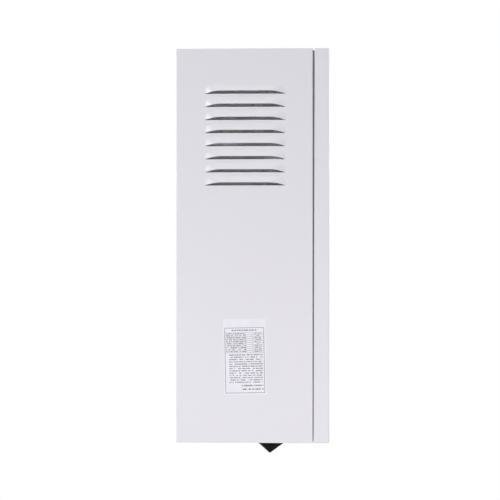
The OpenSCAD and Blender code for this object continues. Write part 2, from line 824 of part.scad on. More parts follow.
// Tee above the supply drop, with the automatic air vent on top
tee_foot_z = outlet_z - 20;
tee_cup_z = outlet_z - 10;
tee_well_z = outlet_z + 12;
tee_arm_wall = 2;
module vent_tee() color("goldenrod") hung() difference() {
    union() {
        rod_z(drop_x, pipe_d, [tee_foot_z, vent_z], tee_r);
        rod_x([port_x - sleeve_l, drop_x], pipe_d, outlet_z, pipe_r + tee_arm_wall);
    }
    rod_x([port_x, drop_x], pipe_d, outlet_z, waterway_r);
    rod_x([port_x - sleeve_l - cut, port_x], pipe_d, outlet_z, cup_r);
    rod_z(drop_x, pipe_d, [tee_cup_z, tee_well_z], waterway_r);
    rod_z(drop_x, pipe_d, [tee_foot_z - cut, tee_cup_z], cup_r);
    rod_z(drop_x, pipe_d, [outlet_z, vent_z + cut], vent_bore_r);
}
vent_spigot_l = 8;
vent_way_r = 2;
vent_foot_r = 12;
vent_neck_r = 9;
vent_neck_l = 12;
vent_slope = 6;
module air_vent_body() color("goldenrod") hung() {
    floor_z = vent_z + vent_floor_t;
    shoulder_z = vent_z + vent_h - vent_slope;
    neck_z = vent_z + vent_h + vent_neck_l;
    spigot = vent_bore_r - solder_gap;
    translate([drop_x, -pipe_d, 0]) rotate_extrude() polygon([
        [vent_way_r, vent_z - vent_spigot_l], [spigot, vent_z - vent_spigot_l], [spigot, vent_z],
        [vent_foot_r, vent_z], [vent_r, vent_z + 5], [vent_r, shoulder_z - 5],
        [vent_neck_r, vent_z + vent_h], [vent_neck_r, neck_z], [guide_r + fit_gap, neck_z],
        [guide_r + fit_gap, shoulder_z + 3], [vent_r - vent_wall, shoulder_z - vent_slope],
        [vent_r - vent_wall, floor_z], [vent_way_r, floor_z]
    ]);
}
module air_vent_float() color("lightgray") hung() {
    low = vent_z + vent_floor_t + soft_gap;
    rod_z(drop_x, pipe_d, [low, low + float_h], float_r);
    rod_z(drop_x, pipe_d, [low + float_h, vent_z + vent_h + guide_proud], guide_r);
}

// Supply line from the tee down to the manifold
function in_plane(x, z) = [x, -pipe_d, z];
module supply_pipe() color("peru") hung()
    pipe_run([in_plane(drop_x, tee_cup_z), in_plane(drop_x, cross_z),
              in_plane(manifold_x, cross_z), in_plane(manifold_x, manifold_top_z - cup_l)],
             pipe_r, pipe_wall, bend_r);

// A connection through the bottom panel, with a collar that rests on the panel
module connection(x, top_z, neck) {
    rod_z(x, pipe_d, [-proud, top_z], neck);
    rod_z(x, pipe_d, [sheet_t, sheet_t + collar_t], collar_r);
}
module supply_manifold() color("goldenrod") hung() difference() {
    union() {
        connection(manifold_x, manifold_top_z, socket_r);
        rod_x([manifold_x, valve_x0], pipe_d, valve_z, spigot_r + boss_wall);
        rod_x([manifold_x, valve_x0], pipe_d, branch_z, branch_r + branch_boss_wall);
        rod_y(manifold_x, [pipe_d, sensor_boss_d], sensor_z, sensor_boss_r);
    }
    rod_z(manifold_x, pipe_d, [-proud - cut, connection_l - proud], connection_r);
    rod_z(manifold_x, pipe_d, [0, manifold_top_z - cup_l], waterway_r);
    rod_z(manifold_x, pipe_d, [manifold_top_z - cup_l, manifold_top_z + cut], cup_r);
    rod_x([valve_x0 - spigot_l, valve_x0 + cut], pipe_d, valve_z, spigot_r + solder_gap);
    rod_x([manifold_x, valve_x0], pipe_d, valve_z, seat_r);
    rod_x([manifold_x, valve_x0], pipe_d, branch_z, branch_r - pipe_wall);
    rod_x([branch_stop_x, valve_x0 + cut], pipe_d, branch_z, branch_r + solder_gap);
    rod_y(manifold_x, [pipe_d, sensor_boss_d + cut], sensor_z, sensor_stem_r + fit_gap);
}
module pressure_sensor() color("dimgray") hung() {
    hex_d = sensor_boss_d + sensor_hex_l;
    plug_d = hex_d + sensor_body_l;
    rod_y(manifold_x, [sensor_boss_d - sensor_boss_l, sensor_boss_d], sensor_z, sensor_stem_r);
    translate([manifold_x, -sensor_boss_d, sensor_z]) rotate([90, 0, 0])
        cylinder(h = sensor_hex_l, r = sensor_hex_r, $fn = 6);
    rod_y(manifold_x, [hex_d, plug_d], sensor_z, sensor_body_r);
    slab([manifold_x - sensor_plug / 2, manifold_x + sensor_plug / 2], [plug_d, plug_d + sensor_plug],
         [sensor_z - 0.4 * sensor_plug, sensor_z + 0.4 * sensor_plug]);
}

// Safety valve: its axis runs across, its outlet points down
valve_x1 = valve_x0 + valve_l;
bonnet_x1 = valve_x1 + bonnet_l;
disc_step = 4;
disc_x = valve_x0 + disc_step;
stem_proud = 4;
outlet_step = 2;
module safety_valve_body() color("goldenrod") hung() difference() {
    union() {
        rod_x([valve_x0 - spigot_l, valve_x0], pipe_d, valve_z, spigot_r);
        rod_x([valve_x0, valve_x1], pipe_d, valve_z, valve_r);
        rod_x([valve_x1, bonnet_x1], pipe_d, valve_z, bonnet_r);
        rod_z(outlet_x, pipe_d, [-proud, valve_z], outlet_body_r);
    }
    rod_x([valve_x0 - spigot_l - cut, disc_x + 1], pipe_d, valve_z, seat_r);
    rod_x([disc_x, bonnet_x1 - chamber_wall], pipe_d, valve_z, bonnet_r - chamber_wall);
    rod_x([disc_x, bonnet_x1 + cut], pipe_d, valve_z, stem_r + fit_gap);
    rod_z(outlet_x, pipe_d, [-proud - cut, outlet_l - proud], outlet_r);
    rod_z(outlet_x, pipe_d, [0, valve_z], outlet_r - outlet_step);
}
module safety_valve_stem() color("silver") hung() {
    rod_x([disc_x + slide_gap, disc_x + slide_gap + disc_t], pipe_d, valve_z, disc_r);
    rod_x([disc_x + disc_t, bonnet_x1 + stem_proud], pipe_d, valve_z, stem_r);
}
spring_x0 = disc_x + disc_t + soft_gap + spring_wire_r + slide_gap;
spring_x1 = bonnet_x1 - chamber_wall - spring_wire_r - soft_gap;
spring_steps = 8;
module safety_valve_spring() color("lightsteelblue") hung()
    tube_along([for (i = [0 : spring_turns * spring_steps])
                    let (a = 360 * i / spring_steps, share = i / (spring_turns * spring_steps))
                        [spring_x0 + (spring_x1 - spring_x0) * share,
                         -pipe_d + spring_r * cos(a), valve_z + spring_r * sin(a)]],
               spring_wire_r, 6);
cap_overlap = 8;
cap_ribs = 8;
cap_rib_w = 4;
cap_rib_h = 2;
module safety_valve_cap() color("red") hung() {
    x0 = bonnet_x1 - cap_overlap;
    difference() {
        union() {
            rod_x([x0, x0 + cap_l], pipe_d, valve_z, cap_r - cap_rib_h);
            for (i = [0 : cap_ribs - 1])
                translate([x0, -pipe_d, valve_z]) rotate([360 * i / cap_ribs, 0, 0])
                    translate([0, -cap_rib_w / 2, 0]) cube([cap_l, cap_rib_w, cap_r]);
        }
        rod_x([x0 - cut, bonnet_x1 + slide_gap], pipe_d, valve_z, bonnet_r + fit_gap);
        rod_x([x0, bonnet_x1 + stem_proud + valve_lift + cut], pipe_d, valve_z, stem_r + fit_gap);
    }
}

// Sensors clipped round the pipes: a split ring with the sensor's head in front
sensor_spots = [[drop_x, cross_z + 80], [manifold_x, manifold_top_z + 60]];
clip_h = 12;
clip_t = 1.2;
clip_slot = 8;
clip_head_w = 10;
clip_head_l = 7;
module temperature_sensors() color("goldenrod") hung() {
    inner = pipe_r + fit_gap;
    for (spot = sensor_spots) {
        x = spot[0];
        span = [spot[1], spot[1] + clip_h];
        difference() {
            union() {
                tube_z(x, pipe_d, span, inner + clip_t, inner);
                slab([x - clip_head_w / 2, x + clip_head_w / 2],
                     [pipe_d + inner + clip_t / 2, pipe_d + inner + clip_head_l], span);
            }
            slab([x - clip_slot / 2, x + clip_slot / 2], [pipe_d - inner - clip_t - cut, pipe_d],
                 [span[0] - cut, span[1] + cut]);
        }
    }
}

// Return line: fitting, pump, and the pipe to the tank
module return_fitting() color("goldenrod") hung() difference() {
    union() {
        connection(pump_x, tail_z0, socket_r);
        rod_z(pump_x, pipe_d, [tail_z0, union_z], tail_r);
        rod_z(pump_x, pipe_d, [union_z - tail_collar_t, union_z], tail_collar_r);
    }
    rod_z(pump_x, pipe_d, [-proud - cut, connection_l - proud], connection_r);
    rod_z(pump_x, pipe_d, [0, union_z + cut], waterway_r);
}
module union_nut(z, up) {
    // The nut's lip lies on the collar's far side; its thread runs towards the pump
    way = up ? 1 : -1;
    lip_end = z - way * (tail_collar_t + nut_lip_t);
    open_end = lip_end + way * nut_l;
    span = [min(lip_end, open_end), max(lip_end, open_end)];
    lip_r = (up ? tail_r : pipe_r) + slide_gap;
    seat_z = z - way * tail_collar_t;
    thread_z = up ? [seat_z, span[1] + cut] : [span[0] - cut, seat_z];
    difference() {
        hex_z(pump_x, pipe_d, span, nut_r);
        rod_z(pump_x, pipe_d, [span[0] - cut, span[1] + cut], lip_r);
        rod_z(pump_x, pipe_d, thread_z, thread_r + fit_gap);
    }
}
module union_nuts() color("silver") hung() {
    union_nut(union_z, true);
    union_nut(pump_top_z, false);
}
module pump_pipe() color("peru") hung() {
    pipe_run([in_plane(pump_x, pump_top_z), in_plane(pump_x, inlet_z), in_plane(port_x, inlet_z)],
             pipe_r, pipe_wall, bend_r);
    difference() {
        rod_z(pump_x, pipe_d, [pump_top_z, pump_top_z + tail_collar_t], tail_collar_r);
        rod_z(pump_x, pipe_d, [pump_top_z - cut, pump_top_z + tail_collar_t + cut], pipe_r - pipe_wall);
    }
    difference() {
        rod_x([port_x - sleeve_l, port_x + sleeve_l], pipe_d, inlet_z, pipe_r + sleeve_t);
        rod_x([port_x - sleeve_l - cut, port_x], pipe_d, inlet_z, cup_r);
        rod_x([port_x - cut, port_x + sleeve_l + cut], pipe_d, inlet_z, pipe_r - pipe_wall);
    }
}
module pump_volute() color("darkred") hung() difference() {
    union() {
        rod_y(pump_x, [volute_back_d, volute_front_d], pump_mid_z, volute_r);
        rod_z(pump_x, pipe_d, [union_z, pump_top_z], thread_r);
        rod_z(pump_x, pipe_d, [union_z + thread_l, pump_top_z - thread_l], neck_r);
    }
    rod_y(pump_x, [volute_back_d + volute_wall, volute_front_d + cut], pump_mid_z, chamber_r);
    rod_z(pump_x, pipe_d, [union_z - cut, pump_top_z + cut], waterway_r);
}
motor_corner_r = 8;
motor_boss_r = 10;
motor_boss_t = 4;
motor_ribs = 12;
motor_rib_w = 2;
motor_rib_h = 2.5;
motor_rib_end = 10;
rotor_back = 6;
rotor_front = 12;
rotor_play = 2;
bearing_end = 5;
bearing_play = 1;
box_sink = 4;
box_side_gap = 2;
module pump_motor() color("dimgray") hung() difference() {
    ribs_d = [volute_front_d + motor_flange_t + motor_rib_end, motor_front_d - motor_rib_end];
    union() {
        rounded_plate([pump_x - motor_r, pump_x + motor_r],
                      [volute_front_d, volute_front_d + motor_flange_t],
                      [pump_mid_z - motor_r, pump_mid_z + motor_r], motor_corner_r);
        rod_y(pump_x, [volute_front_d, motor_front_d], pump_mid_z, motor_r);
        rod_y(pump_x, [motor_front_d, motor_front_d + motor_boss_t], pump_mid_z, motor_boss_r);
        // Cooling ribs run along the motor
        for (i = [0 : motor_ribs - 1])
            translate([pump_x, -ribs_d[0], pump_mid_z]) rotate([90, 360 * i / motor_ribs, 0])
                translate([-motor_rib_w / 2, 0, 0])
                    cube([motor_rib_w, motor_r + motor_rib_h, ribs_d[1] - ribs_d[0]]);
    }
    rod_y(pump_x, [volute_front_d + rotor_back, motor_front_d - rotor_front], pump_mid_z,
          rotor_r + rotor_gap);
    rod_y(pump_x, [volute_front_d - cut, motor_front_d - bearing_end], pump_mid_z,
          shaft_r + bearing_gap);
    // Flat side that carries the terminal box
    slab([pump_x + motor_r - box_sink, pump_x + motor_r + motor_rib_h + cut],
         [volute_front_d + motor_flange_t + box_sink, motor_front_d + cut],
         [pump_mid_z - box_h / 2, pump_mid_z + box_h / 2]);
}
impeller_gap = 2;
impeller_r = chamber_r - impeller_gap;
impeller_t = 2.5;
impeller_pitch = 14;
vane_count = 6;
vane_t = 1.8;
vane_lean = 20;
vane_sink = 0.5;
module pump_rotor() color("lightgray") hung() {
    back_d = volute_back_d + volute_wall + impeller_gap;
    rod_y(pump_x, [back_d + impeller_t, motor_front_d - bearing_end - bearing_play], pump_mid_z, shaft_r);
    rod_y(pump_x, [volute_front_d + rotor_back + rotor_play, motor_front_d - rotor_front - rotor_play],
          pump_mid_z, rotor_r);
    rod_y(pump_x, [back_d, back_d + impeller_t], pump_mid_z, impeller_r);
    rod_y(pump_x, [back_d + impeller_pitch, back_d + impeller_pitch + impeller_t], pump_mid_z,
          impeller_r - 1);
    for (i = [0 : vane_count - 1])
        translate([pump_x, -(back_d + impeller_t - vane_sink), pump_mid_z])
            rotate([90, 360 * i / vane_count, 0])
                translate([shaft_r - 1, 0, 0]) rotate([0, 0, vane_lean])
                    cube([impeller_r - shaft_r - impeller_gap, vane_t,
                          impeller_pitch - impeller_t + 2 * vane_sink]);
}
box_x0 = pump_x + motor_r - box_sink;
box_wall = 2;
knob_block = 14;
knob_shaft_r = 3;
knob_shaft_l = 9;
knob_grip_w = 4;
knob_grip_h = 3;
knob_x = box_x0 + box_w / 2 + knob_offset;
knob_z = pump_mid_z + knob_rise;
box_gland_r = 6;
box_gland_d = box_front_d - 20;
module pump_terminal_box() color("black") hung() difference() {
    box_back_d = volute_front_d + motor_flange_t + box_sink + box_side_gap;
    box_z0 = pump_mid_z - box_h / 2 + box_side_gap;
    box_z1 = pump_mid_z + box_h / 2 - box_side_gap;
    slab([box_x0, box_x0 + box_w], [box_back_d, box_front_d], [box_z0, box_z1]);
    // Hollow behind the knob's block, and open to the motor
    slab([box_x0 - cut, box_x0 + box_w - box_wall], [box_back_d + box_wall, box_front_d - knob_block],
         [box_z0 + box_wall, box_z1 - box_wall]);
    rod_z(box_x0 + box_w / 2, box_gland_d, [box_z0 - cut, box_z0 + box_wall + cut], box_gland_r);
    rod_y(knob_x, [box_front_d - knob_shaft_l - cut, box_front_d + cut], knob_z,
          knob_shaft_r + fit_gap);
}
module pump_speed_knob() color("orangered") hung() {
    d = box_front_d + soft_gap;
    grip = knob_r - cut;
    rod_y(knob_x, [box_front_d - knob_shaft_l, d], knob_z, knob_shaft_r);
    rod_y(knob_x, [d, d + knob_t - knob_grip_h], knob_z, knob_r);
    slab([knob_x - knob_grip_w / 2, knob_x + knob_grip_w / 2], [d, d + knob_t],
         [knob_z - grip, knob_z + grip]);
}

// Flat expansion vessel: two pressed shells joined at a seam, with a rubber membrane between
vessel_round = [4, 5];
module vessel_form(inset) {
    corner_x = [vessel_x0 + vessel_corner_r, vessel_x1 - vessel_corner_r];
    corner_z = [vessel_z0 + vessel_corner_r, vessel_z0 + vessel_h - vessel_corner_r];
    half = vessel_t / 2 - inset;
    r = vessel_corner_r - inset;
    hull() for (x = corner_x, z = corner_z) {
        rod_y(x, [pipe_d - half + vessel_draw, pipe_d + half - vessel_draw], z, r, $fn = 32);
        rod_y(x, [pipe_d - half + vessel_round[0], pipe_d + half - vessel_round[0]], z,
              r - vessel_round[1], $fn = 32);
        rod_y(x, [pipe_d - half, pipe_d + half], z, r - vessel_draw, $fn = 32);
    }
}
module expansion_vessel() color("firebrick") hung() difference() {
    union() {
        vessel_form(0);
        rounded_plate([vessel_x0 - seam_out, vessel_x1 + seam_out],
                      [pipe_d - seam_t / 2, pipe_d + seam_t / 2],
                      [vessel_z0 - seam_out, vessel_z0 + vessel_h + seam_out],
                      vessel_corner_r + seam_out);
        rod_z(stub_x, pipe_d, [vessel_z0 - stub_l, vessel_z0 + seam_t], stub_r);
    }
    vessel_form(vessel_wall);
    rod_z(stub_x, pipe_d, [vessel_z0 - stub_l - cut, vessel_z0 + seam_t], branch_r + solder_gap);
}
membrane_d = pipe_d + 3;
membrane_t = 1.5;
module vessel_membrane() color("black") hung() {
    inset = vessel_wall + slide_gap;
    rounded_plate([vessel_x0 + inset, vessel_x1 - inset], [membrane_d, membrane_d + membrane_t],
                  [vessel_z0 + inset, vessel_z0 + vessel_h - inset], vessel_corner_r - inset);
}
arm_xs = [vessel_mid_x - 50, vessel_mid_x + 20];
arm_w = 20;
arm_t = 2;
arm_lip = 2.5;
arm_foot = 20;
module vessel_bracket() color("silver") hung() {
    seam_low = vessel_z0 - seam_out;
    seam_high = vessel_z0 + vessel_h + seam_out;
    upper_z = seam_high + slide_gap;
    reach_d = pipe_d + seam_t / 2 + arm_t + slide_gap;
    for (x = arm_xs) {
        span = [x - arm_w / 2, x + arm_w / 2];
        // Lower arm: the seam stands on it, behind an upturned lip
        slab(span, [back_in, reach_d], [seam_low - arm_t, seam_low]);
        slab(span, [reach_d - arm_t, reach_d], [seam_low - arm_t, seam_low + arm_lip]);
        slab(span, [back_in, back_in + arm_t], [seam_low - arm_foot, seam_low]);
        // Upper arm: its lip turns down over the seam
        slab(span, [back_in, reach_d], [upper_z, upper_z + arm_t]);
        slab(span, [reach_d - arm_t, reach_d], [seam_high - arm_lip, upper_z + arm_t]);
        slab(span, [back_in, back_in + arm_t], [upper_z, seam_high + arm_foot]);
    }
}
module vessel_pipe() color("peru") hung()
    pipe_run([in_plane(stub_x, vessel_z0 - soft_gap), in_plane(stub_x, branch_z),
              in_plane(branch_stop_x, branch_z)],
             branch_r, pipe_wall, branch_bend_r);

// Electronics on a folded plate that is fixed to the right side and the top
module electronics_plate() color("silver") hung() {
    fold_d = [plate_d, plate_front_d + plate_fold];
    slab([plate_x0, side_in], [plate_d, plate_front_d], [plate_z0, top_in]);
    slab([side_in - sheet_t, side_in], fold_d, [plate_z0, top_in]);
    slab([plate_x0, side_in], fold_d, [top_in - sheet_t, top_in]);
    slab([plate_x0, plate_x0 + sheet_t], fold_d, [plate_z0, top_in]);
    at_each_standoff([plate_front_d, plate_front_d + standoff_h], standoff_r);
}
module at_each_standoff(d, r) {
    for (x = [board_x0 + standoff_inset, board_x1 - standoff_inset],
         z = [board_z0 + standoff_inset, board_z1 - standoff_inset])
        rod_y(x, d, z, r);
}
module heatsink() color("dimgray") hung() {
    span_z = [sink_z1 - sink_h, sink_z1];
    slab([sink_x0, sink_x0 + sink_w], [plate_front_d, plate_front_d + sink_base_t], span_z);
    for (i = [0 : sink_fins - 1])
        translate([(sink_w - sink_fin_t) / (sink_fins - 1) * i, 0, 0])
            slab([sink_x0, sink_x0 + sink_fin_t],
                 [plate_front_d, plate_front_d + sink_base_t + sink_fin_h], span_z);
}
board_screw_r = 1.6;
module power_board() color("darkgreen") hung() difference() {
    slab([board_x0, board_x1], [plate_front_d + standoff_h, board_face_d], [board_z0, board_z1]);
    at_each_standoff([plate_front_d, board_face_d + cut], board_screw_r);
}

// Parts on the power board: each place is [across, up] from the board's lower left corner,
// and each size is [width, height, depth]
relay_count = 6;
relay_pitch = 25;
relay_at = [14, 66];
relay_size = [16, 30, 17];
transformer_at = [14, 108];
transformer_size = [36, 32, 26];
filter_at = [104, 104];
filter_size = [40, 34, 18];
capacitor_count = 3;
capacitor_pitch = 15;
capacitor_at = [62, 122];
capacitor_r = 6;
capacitor_l = 22;
clamp_count = 4;
clamp_pitch = 20;
clamp_at = [12, 8];
clamp_size = [15, 12, 14];
plug_count = 3;
plug_pitch = 20;
plug_at = [102, 8];
plug_size = [16, 7, 9];
chip_at = [100, 34];
chip_size = [22, 22, 3];
module on_board(place, size) slab(
    [board_x0 + place[0], board_x0 + place[0] + size[0]],
    [board_face_d, board_face_d + size[2]],
    [board_z0 + place[1], board_z0 + place[1] + size[1]]
);
module board_row(count, pitch, place, size) {
    for (i = [0 : count - 1])
        on_board(place + [i * pitch, 0], size);
}
module board_parts() color("black") hung() {
    board_row(relay_count, relay_pitch, relay_at, relay_size);
    board_row(clamp_count, clamp_pitch, clamp_at, clamp_size);
    board_row(plug_count, plug_pitch, plug_at, plug_size);
    on_board(transformer_at, transformer_size);
    on_board(filter_at, filter_size);
    on_board(chip_at, chip_size);
    for (i = [0 : capacitor_count - 1])
        rod_y(board_x0 + capacitor_at[0] + i * capacitor_pitch,
              [board_face_d, board_face_d + capacitor_l], board_z0 + capacitor_at[1], capacitor_r);
}

// Terminal block: each pole takes a wire from below and one from above
wire_way_r = 4.5;
wire_way_l = 14;
wire_way_d = plate_front_d + 10;
screw_way_r = 3.6;
screw_way_d = plate_front_d + 12;
terminal_screw_r = 3.4;
terminal_screw_d = [plate_front_d + 14, plate_front_d + block_depth - 2];
slot_w = 1;
slot_h = 1.2;
pole_screw_z = [block_z0 + 9, block_z0 + block_h - 9];
function pole_x(i) = block_x0 + (i + 0.5) * pole_w;
module terminal_block() color("whitesmoke") hung() difference() {
    slab([block_x0, block_x0 + pole_count * pole_w], [plate_front_d, plate_front_d + block_depth],
         [block_z0, block_z0 + block_h]);
    for (i = [0 : pole_count - 1]) {
        rod_z(pole_x(i), wire_way_d, [block_z0 - cut, block_z0 + wire_way_l], wire_way_r);
        rod_z(pole_x(i), wire_way_d, [block_z0 + block_h - wire_way_l, block_z0 + block_h + cut],
              wire_way_r);
        for (z = pole_screw_z)
            rod_y(pole_x(i), [screw_way_d, plate_front_d + block_depth + cut], z, screw_way_r);
    }
}
module terminal_screws() color("silver") hung()
    for (i = [0 : pole_count - 1], z = pole_screw_z)
        difference() {
            rod_y(pole_x(i), terminal_screw_d, z, terminal_screw_r);
            slab([pole_x(i) - screw_way_r, pole_x(i) + screw_way_r],
                 [terminal_screw_d[1] - slot_h, terminal_screw_d[1] + cut],
                 [z - slot_w / 2, z + slot_w / 2]);
        }

// Wires inside: their routes are chosen points
lead_r = 2.2;
lead_pitch = 7;
module element_leads() color("saddlebrown") hung()
    for (i = [0 : len(element_angles) - 1]) {
        a = element_angles[i];
        end_x = tank_x + element_out_r * cos(a);
        end_d = pipe_d + element_out_r * sin(a);
        clamp_x = board_x0 + clamp_at[0] + clamp_size[0] / 2 + clamp_pitch * i;
        tube_along(wire_line([
            at(clamp_x, board_face_d + 9, board_z0 + clamp_at[1] - 0.5),
            at(clamp_x, board_face_d + 9, board_z0 - 4),
            at(clamp_x - 14, board_face_d + 12, board_z0 - 18 - lead_pitch * i),
            at(plate_x0 - 8 - lead_pitch * i, plate_front_d + 45, board_z0 - 6 - lead_pitch * i),
            at(plate_x0 - 14 - lead_pitch * i, plate_front_d + 36, pin_top_z + 40 + lead_pitch * i),
            at((end_x + plate_x0) / 2 - 6, (end_d + plate_front_d + 26) / 2,
               pin_top_z + 50 + lead_pitch * i),
            at(end_x, end_d, pin_top_z + 22),
            at(end_x, end_d, pin_top_z + 11),
            at(end_x, end_d, pin_top_z + slide_gap)
        ]), lead_r, 6);
    }
loom_r = 2.5;
module signal_loom() color("black") hung()
    tube_along(wire_line([
        at(board_x0 + 110, board_face_d + plug_size[2] + slide_gap, board_z0 + 11.5),
        at(board_x0 + 110, board_face_d + 18, board_z0 + 11.5),
        at(board_x0 + 108, board_face_d + 28, board_z0 + 9),
        at(board_x0 + 96, board_face_d + 42, board_z0),
        at(58, casing_d - 34, unit_z + 20),
        at(44, casing_d - 20, unit_z + 6),
        at(40, casing_d - 10, unit_z),
        at(40, casing_d - 2, unit_z),
        at(40, board_gap_d - slide_gap, unit_z)
    ]), loom_r, 6);

// Control unit on a bar across the casing's front
bar_hole_w = 110;
bar_hole_h = 70;
bar_fold = 14;
module display_bar() color("silver") hung() difference() {
    union() {
        slab([-side_in, side_in], [front_in - bar_t, front_in], [bar_z0, bar_z1]);
        for (z = [[bar_z0, bar_z0 + bar_t], [bar_z1 - bar_t, bar_z1]])
            slab([-side_in, side_in], [front_in - bar_fold, front_in], z);
    }
    slab([-bar_hole_w / 2, bar_hole_w / 2], [front_in - bar_t - cut, front_in + cut],
         [unit_z - bar_hole_h / 2, unit_z + bar_hole_h / 2]);
}
module control_bezel() color("black") hung() difference() {
    rounded_plate([-unit_w / 2, unit_w / 2], [front_in, bezel_d1],
                  [unit_z - unit_h / 2, unit_z + unit_h / 2], bezel_corner_r);
    slab([-unit_w / 2 + bezel_wall, unit_w / 2 - bezel_wall], [front_in - cut, bezel_d1 - bezel_wall],
         [unit_z - unit_h / 2 + bezel_wall, unit_z + unit_h / 2 - bezel_wall]);
    slab([-lens_w / 2, lens_w / 2], [bezel_d1 - lens_t, bezel_d1 + cut],
         [lens_z - lens_h / 2, lens_z + lens_h / 2]);
    slab([-lens_w / 2 + lens_seat, lens_w / 2 - lens_seat], [front_in, bezel_d1 + cut],
         [lens_z - lens_h / 2 + lens_seat, lens_z + lens_h / 2 - lens_seat]);
    for (x = key_xs)
        rod_y(x, [front_in, bezel_d1 + cut], key_z, key_r + slide_gap);
}
module display_lens() color("darkslategray") hung()
    slab([-lens_w / 2 + fit_gap, lens_w / 2 - fit_gap], [bezel_d1 - lens_t, bezel_d1],
         [lens_z - lens_h / 2 + fit_gap, lens_z + lens_h / 2 - fit_gap]);
display_inset = 4;
switch_w = 6;
leg_inset = [8, 6];
module control_board() color("darkgreen") hung() {
    inset = bezel_wall + slide_gap;
    front_d = bezel_d1 - bezel_wall - slide_gap;
    back_d = board_gap_d;
    slab([-unit_w / 2 + inset, unit_w / 2 - inset], [back_d, back_d + board_t],
         [unit_z - unit_h / 2 + inset, unit_z + unit_h / 2 - inset]);
    slab([-lens_w / 2 + display_inset, lens_w / 2 - display_inset], [back_d, front_d],
         [lens_z - lens_h / 2 + display_inset, lens_z + lens_h / 2 - display_inset]);
    for (x = key_xs)
        slab([x - switch_w / 2, x + switch_w / 2], [back_d, back_d + board_t + switch_h],
             [key_z - switch_w / 2, key_z + switch_w / 2]);
    // Legs that stand the board off the bar
    for (x = [-unit_w / 2 + leg_inset[0], unit_w / 2 - leg_inset[0]],
         z = [unit_z - unit_h / 2 + leg_inset[1], unit_z + unit_h / 2 - leg_inset[1]])
        rod_y(x, [front_in, back_d + board_t / 2], z, standoff_r);
}
module key(i) hung() {
    skirt_d = bezel_d1 - bezel_wall - slide_gap;
    rod_y(key_xs[i], [skirt_d - key_skirt_t, face_d], key_z, key_r);
    rod_y(key_xs[i], [skirt_d - key_skirt_t, skirt_d], key_z, key_skirt_r);
    rod_y(key_xs[i], [board_gap_d + board_t + switch_h + key_travel + slide_gap, skirt_d], key_z, key_stem_r);
}
module key_menu() color("silver") key(0);
module key_minus() color("silver") key(1);
module key_plus() color("silver") key(2);
module key_power() color("silver") key(3);

// Front cover: a shallow tray whose rear edge leans back a little, so the seam tapers
module cover_profile(inset) polygon([
    [-face_d + inset, inset],
    [-face_d + inset, casing_h - inset],
    [-casing_d - seam_top - inset, casing_h - inset],
    [-casing_d - seam_bottom - inset, inset]
]);
module front_cover() color("white") hung() {
    w = casing_w / 2;
    window_w = unit_w / 2 + window_gap;
    window_h = unit_h / 2 + window_gap;
    difference() {
        intersection() {
            translate([-w, 0, 0]) rotate([90, 0, 90])
                linear_extrude(height = casing_w) cover_profile(0);
            rounded_plate([-w, w], [casing_d, face_d], [0, casing_h], cover_corner_r);
        }
        translate([-w + cover_t, 0, 0]) rotate([90, 0, 90])
            linear_extrude(height = casing_w - 2 * cover_t) cover_profile(cover_t);
        slab([-w + lip_w, w - lip_w], [casing_d, face_d - cover_t], [lip_w, casing_h - lip_w]);
        rounded_plate([-window_w, window_w], [face_d - cover_t - cut, face_d + cut],
                      [unit_z - window_h, unit_z + window_h], bezel_corner_r + window_gap);
        for (x = [-tab_x, tab_x]) {
            slab([x - tab_w / 2 - notch_gap, x + tab_w / 2 + notch_gap],
                 [casing_d, casing_d + seam_top + cover_t + cut], [cover_t, lip_w + cut]);
            rod_z(x, screw_d, [-cut, cover_t + cut], dimple_r - cover_t);
        }
    }
    // Dimples that take the screw heads
    for (x = [-tab_x, tab_x])
        difference() {
            rod_z(x, screw_d, [0, dimple_h + cover_t], dimple_r);
            rod_z(x, screw_d, [-cut, dimple_h], dimple_r - cover_t);
            rod_z(x, screw_d, [0, dimple_h + cover_t + cut], screw_r + slide_gap);
        }
    // Two locating pins, each on an ear of the upper lip
    lip_d = casing_d + seam_top;
    for (x = [-pin_x, pin_x]) {
        slab([x - ear_w / 2, x + ear_w / 2], [lip_d, lip_d + cover_t],
             [casing_h - pin_drop - ear_h / 2, casing_h - cover_t]);
        rod_y(x, [casing_d - pin_l, lip_d + cover_t], casing_h - pin_drop, pin_r);
    }
}
recess = 2.4;
recess_w = 0.5;
recess_h = 1;
nut_t = 3.2;
nut_proud = 1.8;
module cover_screws() color("silver") hung() for (x = [-tab_x, tab_x]) {
    nut_z = tab_z + tab_t + soft_gap;
    head_z = dimple_h - screw_head_t;
    difference() {
        rod_z(x, screw_d, [head_z, dimple_h], screw_head_r);
        for (half = [[recess, recess_w], [recess_w, recess]])
            slab([x - half[0], x + half[0]], [screw_d - half[1], screw_d + half[1]],
                 [0, head_z + recess_h]);
    }
    rod_z(x, screw_d, [dimple_h, nut_z + nut_t + nut_proud], screw_r);
    hex_z(x, screw_d, [nut_z, nut_z + nut_t], screw_head_r);
}

back_panel();
left_side_panel();
right_side_panel();
top_panel();
bottom_panel();
wall_bracket();
cover_seal();
rating_label();
cable_grommet();
tank_shell();
tank_jacket();
tank_bands();
heater_flange();
flange_gasket();
flange_bolts();
heating_elements();
star_strap();
overheat_cutout();
reset_pin();
vent_tee();
air_vent_body();
air_vent_float();
supply_pipe();
supply_manifold();
pressure_sensor();
temperature_sensors();
safety_valve_body();
safety_valve_spring();
safety_valve_stem();
safety_valve_cap();
return_fitting();
union_nuts();
pump_pipe();
pump_volute();
pump_motor();
pump_rotor();
pump_terminal_box();
pump_speed_knob();
expansion_vessel();
vessel_membrane();
vessel_bracket();
vessel_pipe();
electronics_plate();
heatsink();
power_board();
board_parts();
terminal_block();
terminal_screws();
element_leads();
signal_loom();
display_bar();
control_bezel();
display_lens();
control_board();
key_menu();
key_minus();
key_plus();
key_power();
front_cover();
cover_screws();
